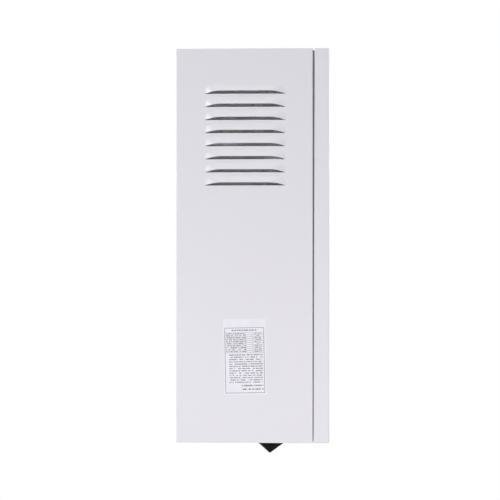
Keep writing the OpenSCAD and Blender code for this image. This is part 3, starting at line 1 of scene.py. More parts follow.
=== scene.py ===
# %% [markdown]
# # An electric wall boiler
# The object is a slim steel casing that hangs on a wall. Inside are a heating tank, a pump, an
# expansion vessel, safety fittings and a board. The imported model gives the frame: every piece
# below goes where its solid is, so nothing has to be fitted by eye. Sizes are in millimetres,
# and one helper turns them into metres.

# %% Load the frame
import json
from math import copysign, cos, dist, hypot, pi, radians, sin, sqrt, tau
import bpy
import bmesh
from mathutils import Matrix, Vector


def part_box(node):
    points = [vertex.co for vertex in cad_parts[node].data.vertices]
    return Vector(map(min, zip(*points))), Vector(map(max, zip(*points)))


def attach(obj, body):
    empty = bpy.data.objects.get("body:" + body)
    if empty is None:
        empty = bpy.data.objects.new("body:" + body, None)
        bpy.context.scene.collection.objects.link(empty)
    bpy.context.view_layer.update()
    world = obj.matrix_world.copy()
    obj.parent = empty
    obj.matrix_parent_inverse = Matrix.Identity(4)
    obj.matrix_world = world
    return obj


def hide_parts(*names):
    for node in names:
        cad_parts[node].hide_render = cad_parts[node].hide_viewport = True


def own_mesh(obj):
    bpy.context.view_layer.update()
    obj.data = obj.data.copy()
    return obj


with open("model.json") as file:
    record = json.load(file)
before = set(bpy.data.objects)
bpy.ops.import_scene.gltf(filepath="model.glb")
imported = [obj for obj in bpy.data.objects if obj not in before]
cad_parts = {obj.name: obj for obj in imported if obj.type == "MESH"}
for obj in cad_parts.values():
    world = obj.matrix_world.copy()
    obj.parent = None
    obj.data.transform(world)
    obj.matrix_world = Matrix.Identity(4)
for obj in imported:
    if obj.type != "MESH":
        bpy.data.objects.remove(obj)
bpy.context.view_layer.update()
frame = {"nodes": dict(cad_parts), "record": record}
MM = 0.001
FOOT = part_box("left_side_panel")[0][2]


def place(x, d, z):
    """x across, d away from the wall and z above the casing's foot, in mm, as a point."""
    return Vector((x * MM, -d * MM, z * MM + FOOT))


def show(name, data):
    """A new object of that data, linked to the scene."""
    obj = bpy.data.objects.new(name, data)
    bpy.context.scene.collection.objects.link(obj)
    return obj


def aimed(at, target):
    """The matrix that stands a camera or lamp at one point and turns it towards another."""
    at = Vector(at)
    turn = (Vector(target) - at).to_track_quat("-Z", "Y").to_matrix().to_4x4()
    return Matrix.Translation(at) @ turn


# %% [markdown]
# ## Camera
# The photograph is a product picture from a few metres away, square to the left side, a little
# in front of it. A long lens at that distance shows the side almost flat, with a trace of
# perspective on the near edge. Turning the camera with a matrix keeps it exact.

# %% Camera
EYE, TARGET = (-2.700, -0.220, -0.257), (-0.200, -0.1216, -0.2571)
camera_data = bpy.data.cameras.new("camera")
camera_data.sensor_width = 36.0
camera_data.lens = 109.35
camera = show("camera", camera_data)
camera.matrix_world = aimed(EYE, TARGET)
bpy.context.scene.camera = camera
print("camera", round(dist(EYE, TARGET), 3), "m from the side")

# %% [markdown]
# ## Nodes in a few words
# Light, finishes and repeated shapes are all node trees. `add` makes a node and fills its
# inputs: a socket is linked, and anything else becomes the input's own value. The helpers after
# it are the small steps that several trees share.


# %% Helpers for nodes
def feed(tree, node, inputs):
    """Fills a node's inputs, by name or number: a socket is linked, other values are set."""
    for label, value in inputs.items():
        if isinstance(value, bpy.types.NodeSocket):
            tree.links.new(value, node.inputs[label])
        else:
            node.inputs[label].default_value = value
    return node


def add(tree, kind, inputs=None, **settings):
    """A new node with those settings and inputs."""
    node = tree.nodes.new(kind)
    for label, value in settings.items():
        setattr(node, label, value)
    return feed(tree, node, inputs or {})


def compute(tree, operation, *values):
    """The result of a Math node. Each value is a number or a socket."""
    return add(tree, "ShaderNodeMath", dict(enumerate(values)), operation=operation).outputs[0]


def ramp(tree, source, start=(0, 1), end=(0, 1)):
    """The source, going between two limits, turned into a value between two others."""
    return add(tree, "ShaderNodeMapRange", {
        "Value": source, "From Min": start[0], "From Max": start[1],
        "To Min": end[0], "To Max": end[1]}).outputs["Result"]


def object_space(tree):
    """Coordinates that stay with the object."""
    return add(tree, "ShaderNodeTexCoord").outputs["Object"]


def noise(tree, scale, detail, vector):
    """A noise over a vector."""
    return add(tree, "ShaderNodeTexNoise", {
        "Vector": vector, "Scale": scale, "Detail": detail}).outputs["Fac"]


def looked_at(tree):
    """1 for rays from the camera, off mirrors and through glass, and 0 for all others."""
    rays = add(tree, "ShaderNodeLightPath").outputs
    direct = compute(tree, "MAXIMUM", rays["Is Camera Ray"], rays["Is Glossy Ray"])
    return compute(tree, "MAXIMUM", direct, rays["Is Transmission Ray"])


def new_coat(name):
    """A new material and its node tree."""
    mat = bpy.data.materials.new(name)
    mat.use_nodes = True
    return mat, mat.node_tree


def feed_shader(tree, inputs):
    """Fills the inputs of a material's shader."""
    return feed(tree, tree.nodes["Principled BSDF"], inputs)


# %% [markdown]
# ## Light
# White paint shows every difference in light, so most of the lamps are large and soft. A white
# world fills from all round. Softboxes low down, at the side and at the rear make the foot of the
# side brighter than its top, as in the photograph. One large softbox above shapes the louvres'
# hoods, and one small lamp far off at the rear puts the bright spots on their left ends.

# %% World and lamps
world = bpy.data.worlds.new("studio")
bpy.context.scene.world = world
world.use_nodes = True
tree = world.node_tree
tree.nodes.clear()
sky = add(tree, "ShaderNodeBackground", {"Color": (0.97, 0.97, 1.0, 1), "Strength": 0.2})
backdrop = add(tree, "ShaderNodeBackground", {"Color": (1, 1, 1, 1)})
mix = add(tree, "ShaderNodeMixShader", {
    "Fac": looked_at(tree), 1: sky.outputs[0], 2: backdrop.outputs[0]})
add(tree, "ShaderNodeOutputWorld", {"Surface": mix.outputs[0]})


def softbox(name, at, target, width, height, power):
    """A rectangular lamp of that many watts at a point, turned towards another."""
    lamp = bpy.data.lights.new(name, "AREA")
    lamp.shape = "RECTANGLE"
    lamp.size = width
    lamp.size_y = height
    lamp.energy = power
    holder = show(name, lamp)
    holder.matrix_world = aimed(at, target)
    holder.visible_camera = False


softbox("softbox_low", (-1.5, 0.1, -0.84), (-0.2, -0.12, -0.4), 1.2, 0.9, 3.2)
softbox("softbox_high", (-3.7, 0.2, 4.8), (-0.2, -0.1, -0.25), 3.2, 3.2, 95)
softbox("softbox_side", (-2.4, -1.0, -0.6), (-0.2, -0.15, -0.3), 0.9, 0.9, 10.9)
softbox("softbox_rear", (-1.2, 0.5, -0.33), (-0.2, -0.15, -0.33), 0.5, 0.5, 1.6)
softbox("softbox_glint", (-3.35, 2.5, 1.6), (-0.2, -0.17, -0.12), 0.4, 0.4, 36)
softbox("softbox_back", (0.9, 3.0, 0.7), (0, -0.1, -0.25), 1.8, 1.8, 30)
softbox("softbox_front", (0.5, -3.2, 0.9), (0, -0.2, -0.25), 1.8, 1.8, 38)
softbox("softbox_right", (2.4, -0.9, 0.5), (0, -0.1, -0.25), 1.4, 1.4, 17)
bpy.context.scene.view_settings.view_transform = "Standard"

# %% [markdown]
# ## Floor
# The boiler hangs, so the floor lies well below it. It is a large pale disc that looks white to
# the camera, in mirrors and through glass, and still takes a faint shadow.

# %% Floor
FLOOR_R, FLOOR_Z, FLOOR_SIDES = 4.6, -1.5, 64
angles = [tau * i / FLOOR_SIDES for i in range(FLOOR_SIDES)]
floor_mesh = bpy.data.meshes.new("floor")
floor_mesh.from_pydata([(FLOOR_R * cos(a), FLOOR_R * sin(a), FLOOR_Z) for a in angles],
                       [], [list(range(FLOOR_SIDES))])
floor_coat, tree = new_coat("floor_paint")
paint = feed_shader(tree, {"Base Color": (0.86, 0.86, 0.87, 1), "Roughness": 0.9})
unlit = add(tree, "ShaderNodeEmission", {"Strength": 0.0})
bright = add(tree, "ShaderNodeEmission", {"Strength": 0.5})
lift = add(tree, "ShaderNodeMixShader", {
    "Fac": looked_at(tree), 1: unlit.outputs[0], 2: bright.outputs[0]})
total = add(tree, "ShaderNodeAddShader", {0: paint.outputs[0], 1: lift.outputs[0]})
feed(tree, tree.nodes["Material Output"], {"Surface": total.outputs[0]})
floor_mesh.materials.append(floor_coat)
floor = show("floor", floor_mesh)

# %% [markdown]
# ## Node groups for the finishes
# Several finishes share the same small effects. `speckle` is a fine noise in object space, used
# for orange peel in paint, the skin of cast iron and foam. `drawn` is a noise stretched along one
# axis, for sheet and bar that was rolled or brushed. `settled` marks faces that look up, broken by
# noise, where dust lies. Each group only puts out masks and heights; the shader stays in the
# material.


# %% Helper for node groups
def new_group(name, inputs, output_names):
    """A shader group with named float sockets, its inputs' sockets and its end node."""
    group = bpy.data.node_groups.new(name, "ShaderNodeTree")
    for label, value in inputs.items():
        socket = group.interface.new_socket(name=label, in_out="INPUT", socket_type="NodeSocketFloat")
        socket.default_value = value
    for label in output_names:
        group.interface.new_socket(name=label, in_out="OUTPUT", socket_type="NodeSocketFloat")
    return group, add(group, "NodeGroupInput").outputs, add(group, "NodeGroupOutput")


# %% speckle: fine noise at two scales
speckle, given, end = new_group("speckle", {"Scale": 800.0, "Coarse": 40.0}, ["Height", "Cloud"])
where = object_space(speckle)
feed(speckle, end, {
    "Height": noise(speckle, given["Scale"], 3, where),
    "Cloud": ramp(speckle, noise(speckle, given["Coarse"], 2, where), (0.25, 0.75))})

# %% drawn: streaks along one axis
drawn, given, end = new_group("drawn", {"X": 30.0, "Y": 30.0, "Z": 1500.0}, ["Streak"])
pull = add(drawn, "ShaderNodeCombineXYZ", {axis: given[axis] for axis in "XYZ"})
stretch = add(drawn, "ShaderNodeVectorMath", {0: object_space(drawn), 1: pull.outputs[0]},
              operation="MULTIPLY")
feed(drawn, end, {"Streak": ramp(drawn, noise(drawn, 1.0, 2, stretch.outputs[0]), (0.3, 0.7))})

# %% settled: dust on faces that look up
settled, given, end = new_group("settled", {"Amount": 0.3}, ["Dust"])
facing = add(settled, "ShaderNodeNewGeometry")
upright = add(settled, "ShaderNodeSeparateXYZ", {0: facing.outputs["Normal"]})
patches = ramp(settled, noise(settled, 60, 4, object_space(settled)), (0.3, 0.75))
dust = compute(settled, "MULTIPLY", ramp(settled, upright.outputs["Z"], (0.5, 1.0)), patches)
feed(settled, end, {"Dust": compute(settled, "MULTIPLY", dust, given["Amount"])})
print("node groups", [g.name for g in (speckle, drawn, settled)])

# %% [markdown]
# ## Finishes
# Most finishes differ in numbers only: two close shades that a slow cloud mixes, a roughness that
# the same cloud shifts a little, a bump from speckle or streaks, and some dust. One function
# builds that recipe. Anything the same all over is set on the shader's own sockets. The finishes
# that need more, such as zinc's spangle, the label's print and the board's tracks, add their
# own nodes afterwards.

# %% Finish recipe
coats = {}
DUST_SHADE = (0.42, 0.40, 0.37)
SECOND_SHADE = 0.93


def add_group(tree, group, **values):
    """Places a node group in a material with its own values and gives its outputs."""
    return add(tree, "ShaderNodeGroup", values, node_tree=group).outputs


def blend(tree, fac, first, second):
    """A mix of two colours, either of which may be a socket."""
    first, second = [(*c, 1) if isinstance(c, tuple) else c for c in (first, second)]
    return add(tree, "ShaderNodeMix", {"Factor": fac, 6: first, 7: second}, data_type="RGBA").outputs[2]


def finish(name, shade, other=None, rough=(0.4, 0.5), metal=0.0, grain=900.0, bump=0.02,
           cloud=30.0, streak=None, dust=0.0, coat=0.0, depth=0.0002):
    """Adds a material from the recipe. shade and other are two close colours, in linear light."""
    coats[name], tree = new_coat(name)
    spots = add_group(tree, speckle, Scale=grain, Coarse=cloud)
    other = other or tuple(c * SECOND_SHADE for c in shade)
    colour = blend(tree, spots["Cloud"], shade, other)
    if dust:
        colour = blend(tree, add_group(tree, settled, Amount=dust)["Dust"], colour, DUST_SHADE)
    height, shift = spots["Height"], spots["Cloud"]
    if streak:
        height = shift = add_group(tree, drawn, X=streak[0], Y=streak[1], Z=streak[2])["Streak"]
    raised = add(tree, "ShaderNodeBump", {"Strength": bump, "Distance": depth, "Height": height})
    feed_shader(tree, {
        "Base Color": colour, "Metallic": metal, "Roughness": ramp(tree, shift, end=rough),
        "Normal": raised.outputs["Normal"], "Coat Weight": coat, "Coat Roughness": 0.08})
    return tree


# %% The finishes
finish("casing_coat", (0.735, 0.722, 0.765), (0.732, 0.719, 0.762), (0.275, 0.285),
       grain=1400, bump=0.06, cloud=9, depth=0.0001)
finish("bolt_steel", (0.62, 0.63, 0.65), (0.5, 0.51, 0.53), (0.25, 0.42), 1.0,
       grain=2500, bump=0.1, cloud=120, dust=0.1)
finish("seal_foam", (0.16, 0.16, 0.17), (0.2, 0.2, 0.21), (0.9, 0.98),
       grain=1600, bump=0.6, cloud=200, depth=0.0006)
rubber = finish("black_rubber", (0.0032, 0.0032, 0.0036), (0.006, 0.006, 0.0065), (0.5, 0.62),
                grain=1100, bump=0.1, cloud=90)
feed_shader(rubber, {"Specular IOR Level": 0.02})
finish("tank_steel", (0.55, 0.54, 0.53), (0.47, 0.46, 0.44), (0.28, 0.46), 1.0,
       bump=0.15, cloud=25, streak=(40, 40, 900), dust=0.15)
finish("jacket_foam", (0.045, 0.046, 0.05), (0.03, 0.031, 0.034), (0.86, 0.95),
       grain=700, bump=0.5, cloud=60, dust=0.3, depth=0.0012)
finish("gasket_fibre", (0.1, 0.13, 0.11), (0.06, 0.08, 0.07), (0.8, 0.9),
       grain=1800, bump=0.4, cloud=300)
finish("element_sheath", (0.45, 0.40, 0.34), (0.33, 0.27, 0.25), (0.3, 0.45), 1.0,
       grain=1500, bump=0.1, cloud=70)
finish("cutout_body", (0.035, 0.03, 0.027), (0.05, 0.043, 0.04), (0.4, 0.5),
       grain=1200, bump=0.06, cloud=80, dust=0.25)
finish("red_plastic", (0.52, 0.02, 0.018), (0.45, 0.016, 0.015), (0.3, 0.4),
       grain=1400, bump=0.05, cloud=90, dust=0.1)
finish("brass", (0.70, 0.50, 0.22), (0.58, 0.39, 0.16), (0.22, 0.4), 1.0,
       grain=2200, bump=0.12, cloud=70, dust=0.12)
finish("copper", (0.80, 0.40, 0.26), (0.60, 0.27, 0.17), (0.22, 0.42), 1.0,
       grain=1500, bump=0.06, cloud=35, dust=0.12)
finish("float_plastic", (0.62, 0.62, 0.58))
finish("sensor_plastic", (0.022, 0.023, 0.026), None, (0.35, 0.45),
       grain=1600, bump=0.06, cloud=90, dust=0.15)
finish("spring_steel", (0.5, 0.5, 0.52), (0.38, 0.38, 0.4), (0.25, 0.35), 1.0)
finish("pump_iron", (0.33, 0.035, 0.028), (0.27, 0.028, 0.023), (0.38, 0.55),
       grain=420, bump=0.45, cloud=50, dust=0.2, depth=0.0006)
finish("motor_paint", (0.06, 0.062, 0.068), (0.045, 0.046, 0.05), (0.35, 0.48),
       grain=600, bump=0.2, cloud=40, dust=0.25, depth=0.0004)
finish("rotor_steel", (0.55, 0.56, 0.58), None, (0.2, 0.3), 1.0, bump=0.1, streak=(1500, 30, 1500))
finish("box_plastic", (0.03, 0.03, 0.033), (0.024, 0.024, 0.026), (0.42, 0.52),
       bump=0.16, cloud=60, dust=0.2)
finish("vessel_paint", (0.50, 0.03, 0.025), (0.46, 0.026, 0.022), (0.22, 0.3),
       grain=300, bump=0.05, cloud=12, dust=0.18, coat=0.4)
finish("sink_aluminium", (0.74, 0.75, 0.77), (0.66, 0.67, 0.69), (0.3, 0.42), 1.0,
       bump=0.12, streak=(25, 1500, 1500), dust=0.1)
finish("block_plastic", (0.66, 0.66, 0.63), (0.62, 0.61, 0.57), (0.38, 0.48),
       grain=1300, bump=0.06, cloud=70, dust=0.1)
finish("lead_brown", (0.17, 0.062, 0.028), (0.2, 0.078, 0.036), (0.45, 0.55),
       grain=1800, bump=0.12, cloud=60)
finish("loom_black", (0.012, 0.012, 0.013), (0.02, 0.02, 0.021), (0.55, 0.65),
       grain=2600, bump=0.35, cloud=90, depth=0.0003)
finish("bezel_plastic", (0.012, 0.012, 0.014), (0.014, 0.014, 0.016), (0.07, 0.12),
       grain=300, cloud=20, coat=0.5)
finish("screen_wire", (0.40, 0.40, 0.42), (0.34, 0.34, 0.36), (0.45, 0.55), grain=2600, bump=0.05)
finish("key_plastic", (0.50, 0.50, 0.53), (0.47, 0.47, 0.5), (0.22, 0.3),
       grain=1600, bump=0.04, cloud=90, coat=0.3)
finish("part_black", (0.02, 0.02, 0.023), (0.05, 0.05, 0.055), (0.3, 0.45),
       grain=1500, bump=0.06, cloud=28)
print("finishes", len(coats))

# %% [markdown]
# ### Zinc, printed boards and glass
# Hot-dipped zinc crystallises in flat grains, each of its own grey. A Voronoi texture gives every
# cell a random value, which drives both the grey and the roughness. The boards get copper tracks
# under green lacquer: a brick pattern at two scales stands in for their runs. The display's glass
# is tinted, with a faint haze of smudges.

# %% Zinc
tree = finish("zinc_steel", (0.6, 0.61, 0.63), None, (0.3, 0.4), 1.0, bump=0.05)
spangle = add(tree, "ShaderNodeTexVoronoi", {"Vector": object_space(tree), "Scale": 110})
grey = add(tree, "ShaderNodeSeparateColor", {0: spangle.outputs["Color"]})
feed_shader(tree, {
    "Base Color": blend(tree, grey.outputs[0], (0.52, 0.53, 0.55), (0.64, 0.65, 0.68)),
    "Roughness": ramp(tree, grey.outputs[1], end=(0.28, 0.46))})

# %% Boards
LACQUER, TRACK = (0.012, 0.10, 0.045), (0.03, 0.2, 0.08)
tree = finish("board_green", LACQUER, None, (0.25, 0.35), grain=2000, bump=0.05)
upright = add(tree, "ShaderNodeMapping", {
    "Vector": object_space(tree), "Rotation": (pi / 2, 0, 0)})
runs = [add(tree, "ShaderNodeTexBrick", {
            "Vector": upright.outputs[0], "Scale": scale, "Mortar Size": width,
            "Brick Width": 0.9, "Row Height": 0.4}).outputs["Fac"]
        for scale, width in ((60, 0.0225), (150, 0.03))]
feed_shader(tree, {"Base Color": blend(tree, compute(tree, "MAXIMUM", *runs), LACQUER, TRACK)})

# %% Tinted glass of the display
coats["display_glass"], tree = new_coat("display_glass")
smudge = add_group(tree, speckle, Scale=260.0, Coarse=45.0)["Cloud"]
feed_shader(tree, {
    "Base Color": blend(tree, smudge, (0.05, 0.055, 0.065), (0.055, 0.06, 0.07)),
    "Roughness": ramp(tree, smudge, end=(0.03, 0.09)),
    "IOR": 1.49, "Transmission Weight": 0.85})

# %% [markdown]
# ## Pieces from the solids
# Machined and moulded parts already have the right form as solids, but their edges are knife
# sharp and their curves faceted. A copy of the mesh is merged, its flat triangles are joined,
# and a narrow bevel is put on every sharp edge. The bevel is what catches the light on a real
# edge. The copy then stands for the solid.

# %% Helpers for pieces
# Points nearer than SAME metres are merged, and joints flatter than FLAT degrees go. The other
# angles say from where an edge is sharp on plain, eased, folded, round and small pieces.
SAME, FLAT = 2e-6, 0.6
SHARP, EASED, FOLDED, ROUND, SMALL = 35, 40, 42, 50, 30


def adopt(obj, body, slot, coat=None):
    """Gives a new piece the finish of its slot, unless it already has one, and links it to the body it
    moves with.
    """
    if not obj.data.materials:
        obj.data.materials.append(coats[coat or slot])
    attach(obj, body)
    return obj


def apply_modifiers(obj):
    """Gives the object the mesh that its modifiers make, and takes them off."""
    held = bpy.context.evaluated_depsgraph_get()
    mesh = bpy.data.meshes.new_from_object(obj.evaluated_get(held))
    obj.modifiers.clear()
    obj.data = mesh


def settle(obj, sharp=SHARP):
    """Leaves one plain mesh of an object, smooth up to that angle, with even shading."""
    apply_modifiers(obj)
    obj.data.shade_smooth()
    obj.data.set_sharp_from_angle(angle=radians(sharp))
    even = obj.modifiers.new("even_shading", "WEIGHTED_NORMAL")
    even.keep_sharp = True
    even.weight = 80
    apply_modifiers(obj)
    return obj


def from_mesh(name, bm):
    """A new object of that bmesh."""
    mesh = bpy.data.meshes.new(name)
    bm.to_mesh(mesh)
    bm.free()
    return show(name, mesh)


def gather(name, pieces):
    """Joins pieces into one object."""
    if len(pieces) > 1:
        with bpy.context.temp_override(active_object=pieces[0], selected_editable_objects=pieces):
            bpy.ops.object.join()
    pieces[0].name = name
    return pieces[0]


def bridge(bm, loops):
    """Joins closed loops of vertices, each to the next one, by strips of quads."""
    for first, second in zip(loops, loops[1:]):
        for i in range(len(first)):
            j = (i + 1) % len(first)
            bm.faces.new((first[i], first[j], second[j], second[i]))


def close_up(bm, loops, ends=True):
    """Joins the loops, fills the first and the last unless they meet, and turns faces outwards."""
    bridge(bm, loops)
    if ends:
        bm.faces.new(loops[0])
        bm.faces.new(loops[-1][::-1])
    bmesh.ops.remove_doubles(bm, verts=bm.verts, dist=SAME)
    bmesh.ops.recalc_face_normals(bm, faces=bm.faces)


def face_out(bm, outwards):
    """Merges equal points, and turns a skin so that its large flat faces look outwards."""
    bmesh.ops.remove_doubles(bm, verts=bm.verts, dist=SAME)
    bmesh.ops.recalc_face_normals(bm, faces=bm.faces)
    shares = [(f.normal.dot(outwards), f.calc_area()) for f in bm.faces]
    if sum(way * area for way, area in shares if abs(way) > 0.9) < 0:
        bmesh.ops.reverse_faces(bm, faces=bm.faces)


def thicken(obj, sheet):
    """Gives a skin the thickness of a sheet, inwards."""
    thick = obj.modifiers.new("sheet", "SOLIDIFY")
    thick.thickness = sheet * MM
    thick.offset = -1
    return settle(obj, FOLDED)


def eased(node, slot, edge):
    """A copy of a solid with its sharp edges rounded by that many mm, in place of the solid."""
    bm = bmesh.new()
    bm.from_mesh(frame["nodes"][node].data)
    bmesh.ops.remove_doubles(bm, verts=bm.verts, dist=SAME)
    bmesh.ops.dissolve_limit(bm, angle_limit=radians(FLAT), verts=bm.verts, edges=bm.edges)
    obj = from_mesh(node + "_eased", bm)
    bevel = obj.modifiers.new("edges", "BEVEL")
    bevel.width = edge * MM
    bevel.segments = 2
    bevel.limit_method = "ANGLE"
    bevel.angle_limit = radians(SHARP)
    bevel.use_clamp_overlap = True
    settle(obj, EASED)
    adopt(obj, body_of[node], slot)
    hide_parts(node)


body_of = {
    node: body
    for body, nodes in frame["record"]["behaviour"]["bodies"].items()
    for node in nodes
}

# %% [markdown]
# ## Side panels
# Each side is one pressed sheet. Its edges are rolled over to meet the top, the foot and the
# cover, and eight louvres are lanced and pushed out: a slit is cut and the metal above it is
# drawn out into a hood, open at the bottom. The sheet is modelled without thickness, and a
# Solidify modifier gives it its 1.2 mm.
#
# A louvre repeats, so one cell of the sheet is made, from just under a slit to just under the
# next one. Geometry Nodes sets the cell down eight times along a line, joins the copies to the
# plain sheet around them and merges the shared points, so the side stays one skin.

# %% Sizes of the side
WIDE, DEEP, TALL, SHEET = 400.0, 225.0, 650.0, 1.2
ROLL_EDGE, ROLL_TOP, RETURN, ROLL_STEPS = 1.7, 1.2, 14.0, 5
LOUVRES, PITCH, FIRST = 8, 21.6, TALL - 74.7
LENGTH, OUT, GAP, RISE = 133.0, 5.0, 5.4, 16.0
MIDDLE, END, BLEND, BELOW = 113.5, 10.5, 27.0, 4.0
BEND, BELLY, STRIPS = 0.08, 0.45, 36
LAST = FIRST - (LOUVRES - 1) * PITCH
print("louvres from z", FIRST, "down to", LAST)


# %% The louvre's shape
def fade(u):
    """How far the hood is out at a place u along the slit: steep at its ends, then level."""
    share = max(0.0, min(1.0, (LENGTH / 2 - abs(u)) / BLEND))
    return 1 - (1 - share) ** 2


def bend_height(u):
    """Height of the bend over the slit: a straight line that rounds off at both ends."""
    over = max(0.0, abs(u) - (LENGTH / 2 - END)) / END
    return RISE * sqrt(max(0.0, 1 - over * over))


def bulge(s):
    """The hood's section from the bend (0) to the lip (1), with a small radius at the bend."""
    soft = (hypot(s, BEND) - BEND) / (hypot(1, BEND) - BEND)
    return soft + BELLY * soft * (1 - soft)


COLUMNS = [LENGTH / 2 * sin(pi / 2 * (2 * i / STRIPS - 1)) for i in range(STRIPS + 1)]
HOOD_STEPS = [1.0, 0.94, 0.8, 0.6, 0.4, 0.24, 0.12, 0.05, 0.0]


def louvre_section(u):
    """Heights and pushes of the sheet under the slit and of the hood, at a place u along it."""
    lift = fade(u)
    top = bend_height(u)
    low = min(GAP * lift, top)
    under = [(-BELOW, 0), (-2.0, 0), (-0.9, 0.12 * lift), (0.0, 0.5 * lift)]
    hood = [(top + (low - top) * s, OUT * lift * bulge(s)) for s in HOOD_STEPS]
    return under, hood + [(PITCH - BELOW, 0)]


def louvre_cell(side):
    """One louvre with the flat sheet round it, from BELOW under its slit up over one pitch."""
    bm = bmesh.new()
    origin = place(0, 0, 0)

    def vert(u, height, push):
        """A vertex at a place along the slit and over it, pushed out from the sheet."""
        return bm.verts.new(place(side * (WIDE / 2 + push), MIDDLE - u, height) - origin)

    lower, upper = [[[vert(u, h, p) for h, p in louvre_section(u)[part]] for u in COLUMNS]
                    for part in (0, 1)]
    for skin in (lower, upper):
        for left, right in zip(skin, skin[1:]):
            for j in range(len(left) - 1):
                bm.faces.new((left[j], right[j], right[j + 1], left[j + 1]))
    # Flat sheet between the louvre's ends and the panel's rolled edges
    for column, edge in ((0, MIDDLE - (DEEP - ROLL_EDGE)), (-1, MIDDLE - ROLL_EDGE)):
        far = [vert(edge, PITCH - BELOW, 0), vert(edge, -BELOW, 0)]
        bm.faces.new(lower[column] + [upper[column][-1]] + far)
    face_out(bm, Vector((side, 0, 0)))
    return from_mesh("louvre_cell", bm)


# %% The plain sheet round the louvres
def plain_sheet(side):
    """The side without its band of louvres: flat parts, rolled edges and the two returns."""
    bm = bmesh.new()
    band = [LAST - BELOW + i * PITCH for i in range(LOUVRES + 1)]
    levels = [ROLL_TOP, RETURN] + band + [TALL - RETURN, TALL - ROLL_TOP]
    front, back = DEEP - ROLL_EDGE, ROLL_EDGE
    # The boundary of the flat: up the front edge, over the top, down the back, along the foot.
    # Each point has the direction in which its edge rolls away.
    turn = [radians(a) for a in (22.5, 45, 67.5)]
    edge = []
    for way, near, far, heights in ((1, front, back, levels), (-1, back, front, levels[::-1])):
        edge += [(near, z, way, 0) for z in heights]
        edge += [(near, heights[-1], way * cos(a), way * sin(a)) for a in turn]
        edge += [(d, heights[-1], 0, way) for d in (near, far)]
        edge += [(far, heights[-1], -way * sin(a), way * cos(a)) for a in turn]
    loops = []
    for k in range(ROLL_STEPS + 1):
        a = pi / 2 * k / ROLL_STEPS
        loop = []
        for d, z, to_d, to_z in edge:
            roll = ROLL_EDGE * to_d * to_d + ROLL_TOP * to_z * to_z
            step = roll * sin(a)
            x = side * (WIDE / 2 - roll * (1 - cos(a)))
            loop.append(bm.verts.new(place(x, d + to_d * step, z + to_z * step)))
        loops.append(loop)
    bridge(bm, loops)
    # The returns run along the front and the back between the corners
    for i, (_, z, way, _) in enumerate(edge):
        j = (i + 1) % len(edge)
        next_z, next_way = edge[j][1:3]
        straight = way == next_way and abs(way) == 1
        if straight and min(z, next_z) >= RETURN and max(z, next_z) <= TALL - RETURN:
            d = DEEP if way > 0 else 0.0
            far = [bm.verts.new(place(side * (WIDE / 2 - RETURN), d, h)) for h in (next_z, z)]
            bm.faces.new((loops[-1][i], loops[-1][j], *far))
    # Flat sheet above and below the band of louvres
    for low, high in ((ROLL_TOP, band[0]), (band[-1], TALL - ROLL_TOP)):
        steps = [z for z in levels if low - 0.01 <= z <= high + 0.01]
        outline = [(front, z) for z in steps] + [(back, z) for z in reversed(steps)]
        bm.faces.new([bm.verts.new(place(side * WIDE / 2, d, z)) for d, z in outline])
    face_out(bm, Vector((side, 0, 0)))
    return from_mesh("side_panel", bm)


# %% Node tree that sets the cells down
def tree_with(name, sockets):
    """A Geometry Nodes tree with those inputs, which ends in a Set Material node."""
    tree = bpy.data.node_groups.new(name, "GeometryNodeTree")
    for label, kind in (("Geometry", "Geometry"), *sockets.items(), ("Finish", "Material")):
        tree.interface.new_socket(name=label, in_out="INPUT", socket_type="NodeSocket" + kind)
    tree.interface.new_socket(name="Geometry", in_out="OUTPUT", socket_type="NodeSocketGeometry")
    start = add(tree, "NodeGroupInput")
    painted = add(tree, "GeometryNodeSetMaterial", {"Material": start.outputs["Finish"]})
    add(tree, "NodeGroupOutput", {0: painted.outputs[0]})
    return tree, start, painted


def run_tree(obj, tree, **values):
    """Puts the tree on the object with its values, by the identifiers of their sockets."""
    modifier = obj.modifiers.new(tree.name, "NODES")
    modifier.node_group = tree
    ids = {item.name: item.identifier for item in tree.interface.items_tree
           if item.in_out == "INPUT"}
    for label, value in values.items():
        modifier[ids[label]] = value


def chain(tree, *steps):
    """Links nodes one after the other. A step is a node, or the kind of a new one."""
    nodes = [add(tree, step) if isinstance(step, str) else step for step in steps]
    for source, into in zip(nodes, nodes[1:]):
        tree.links.new(source.outputs[0], into.inputs[0])


line_tree, start, painted = tree_with("set_in_line", {
    "Piece": "Object", "Count": "Int", "Start": "Vector", "Step": "Vector", "Merge": "Float"})
given = start.outputs
line = add(line_tree, "GeometryNodeMeshLine", {
    "Count": given["Count"], "Start Location": given["Start"], "Offset": given["Step"]})
shape = add(line_tree, "GeometryNodeObjectInfo", {"Object": given["Piece"]})
copies = add(line_tree, "GeometryNodeInstanceOnPoints", {
    "Points": line.outputs["Mesh"], "Instance": shape.outputs["Geometry"]})
joined = add(line_tree, "GeometryNodeJoinGeometry", {0: given["Geometry"]})
merged = add(line_tree, "GeometryNodeMergeByDistance", {"Distance": given["Merge"]})
chain(line_tree, copies, "GeometryNodeRealizeInstances", joined, merged, painted)

# %% The two sides
for node, side in (("left_side_panel", -1), ("right_side_panel", 1)):
    panel = plain_sheet(side)
    cell = louvre_cell(side)
    run_tree(panel, line_tree, Piece=cell, Count=LOUVRES, Start=place(0, 0, FIRST),
             Step=(0, 0, -PITCH * MM), Merge=2 * SAME, Finish=coats["casing_coat"])
    thicken(panel, SHEET)
    bpy.data.objects.remove(cell)
    panel.name = node + "_sheet"
    adopt(panel, "casing", "casing_coat")
    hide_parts(node)
    print(panel.name, len(panel.data.polygons), "faces")

# %% [markdown]
# ## Screen behind the louvres
# Fingers and insects are kept out by a woven wire screen just inside the slits. From outside it
# turns the dark gaps grey. Its wires repeat hundreds of times, so each has four sides only. Two
# runs of the same line tree lay them, one set across and one set up, a wire's width apart.

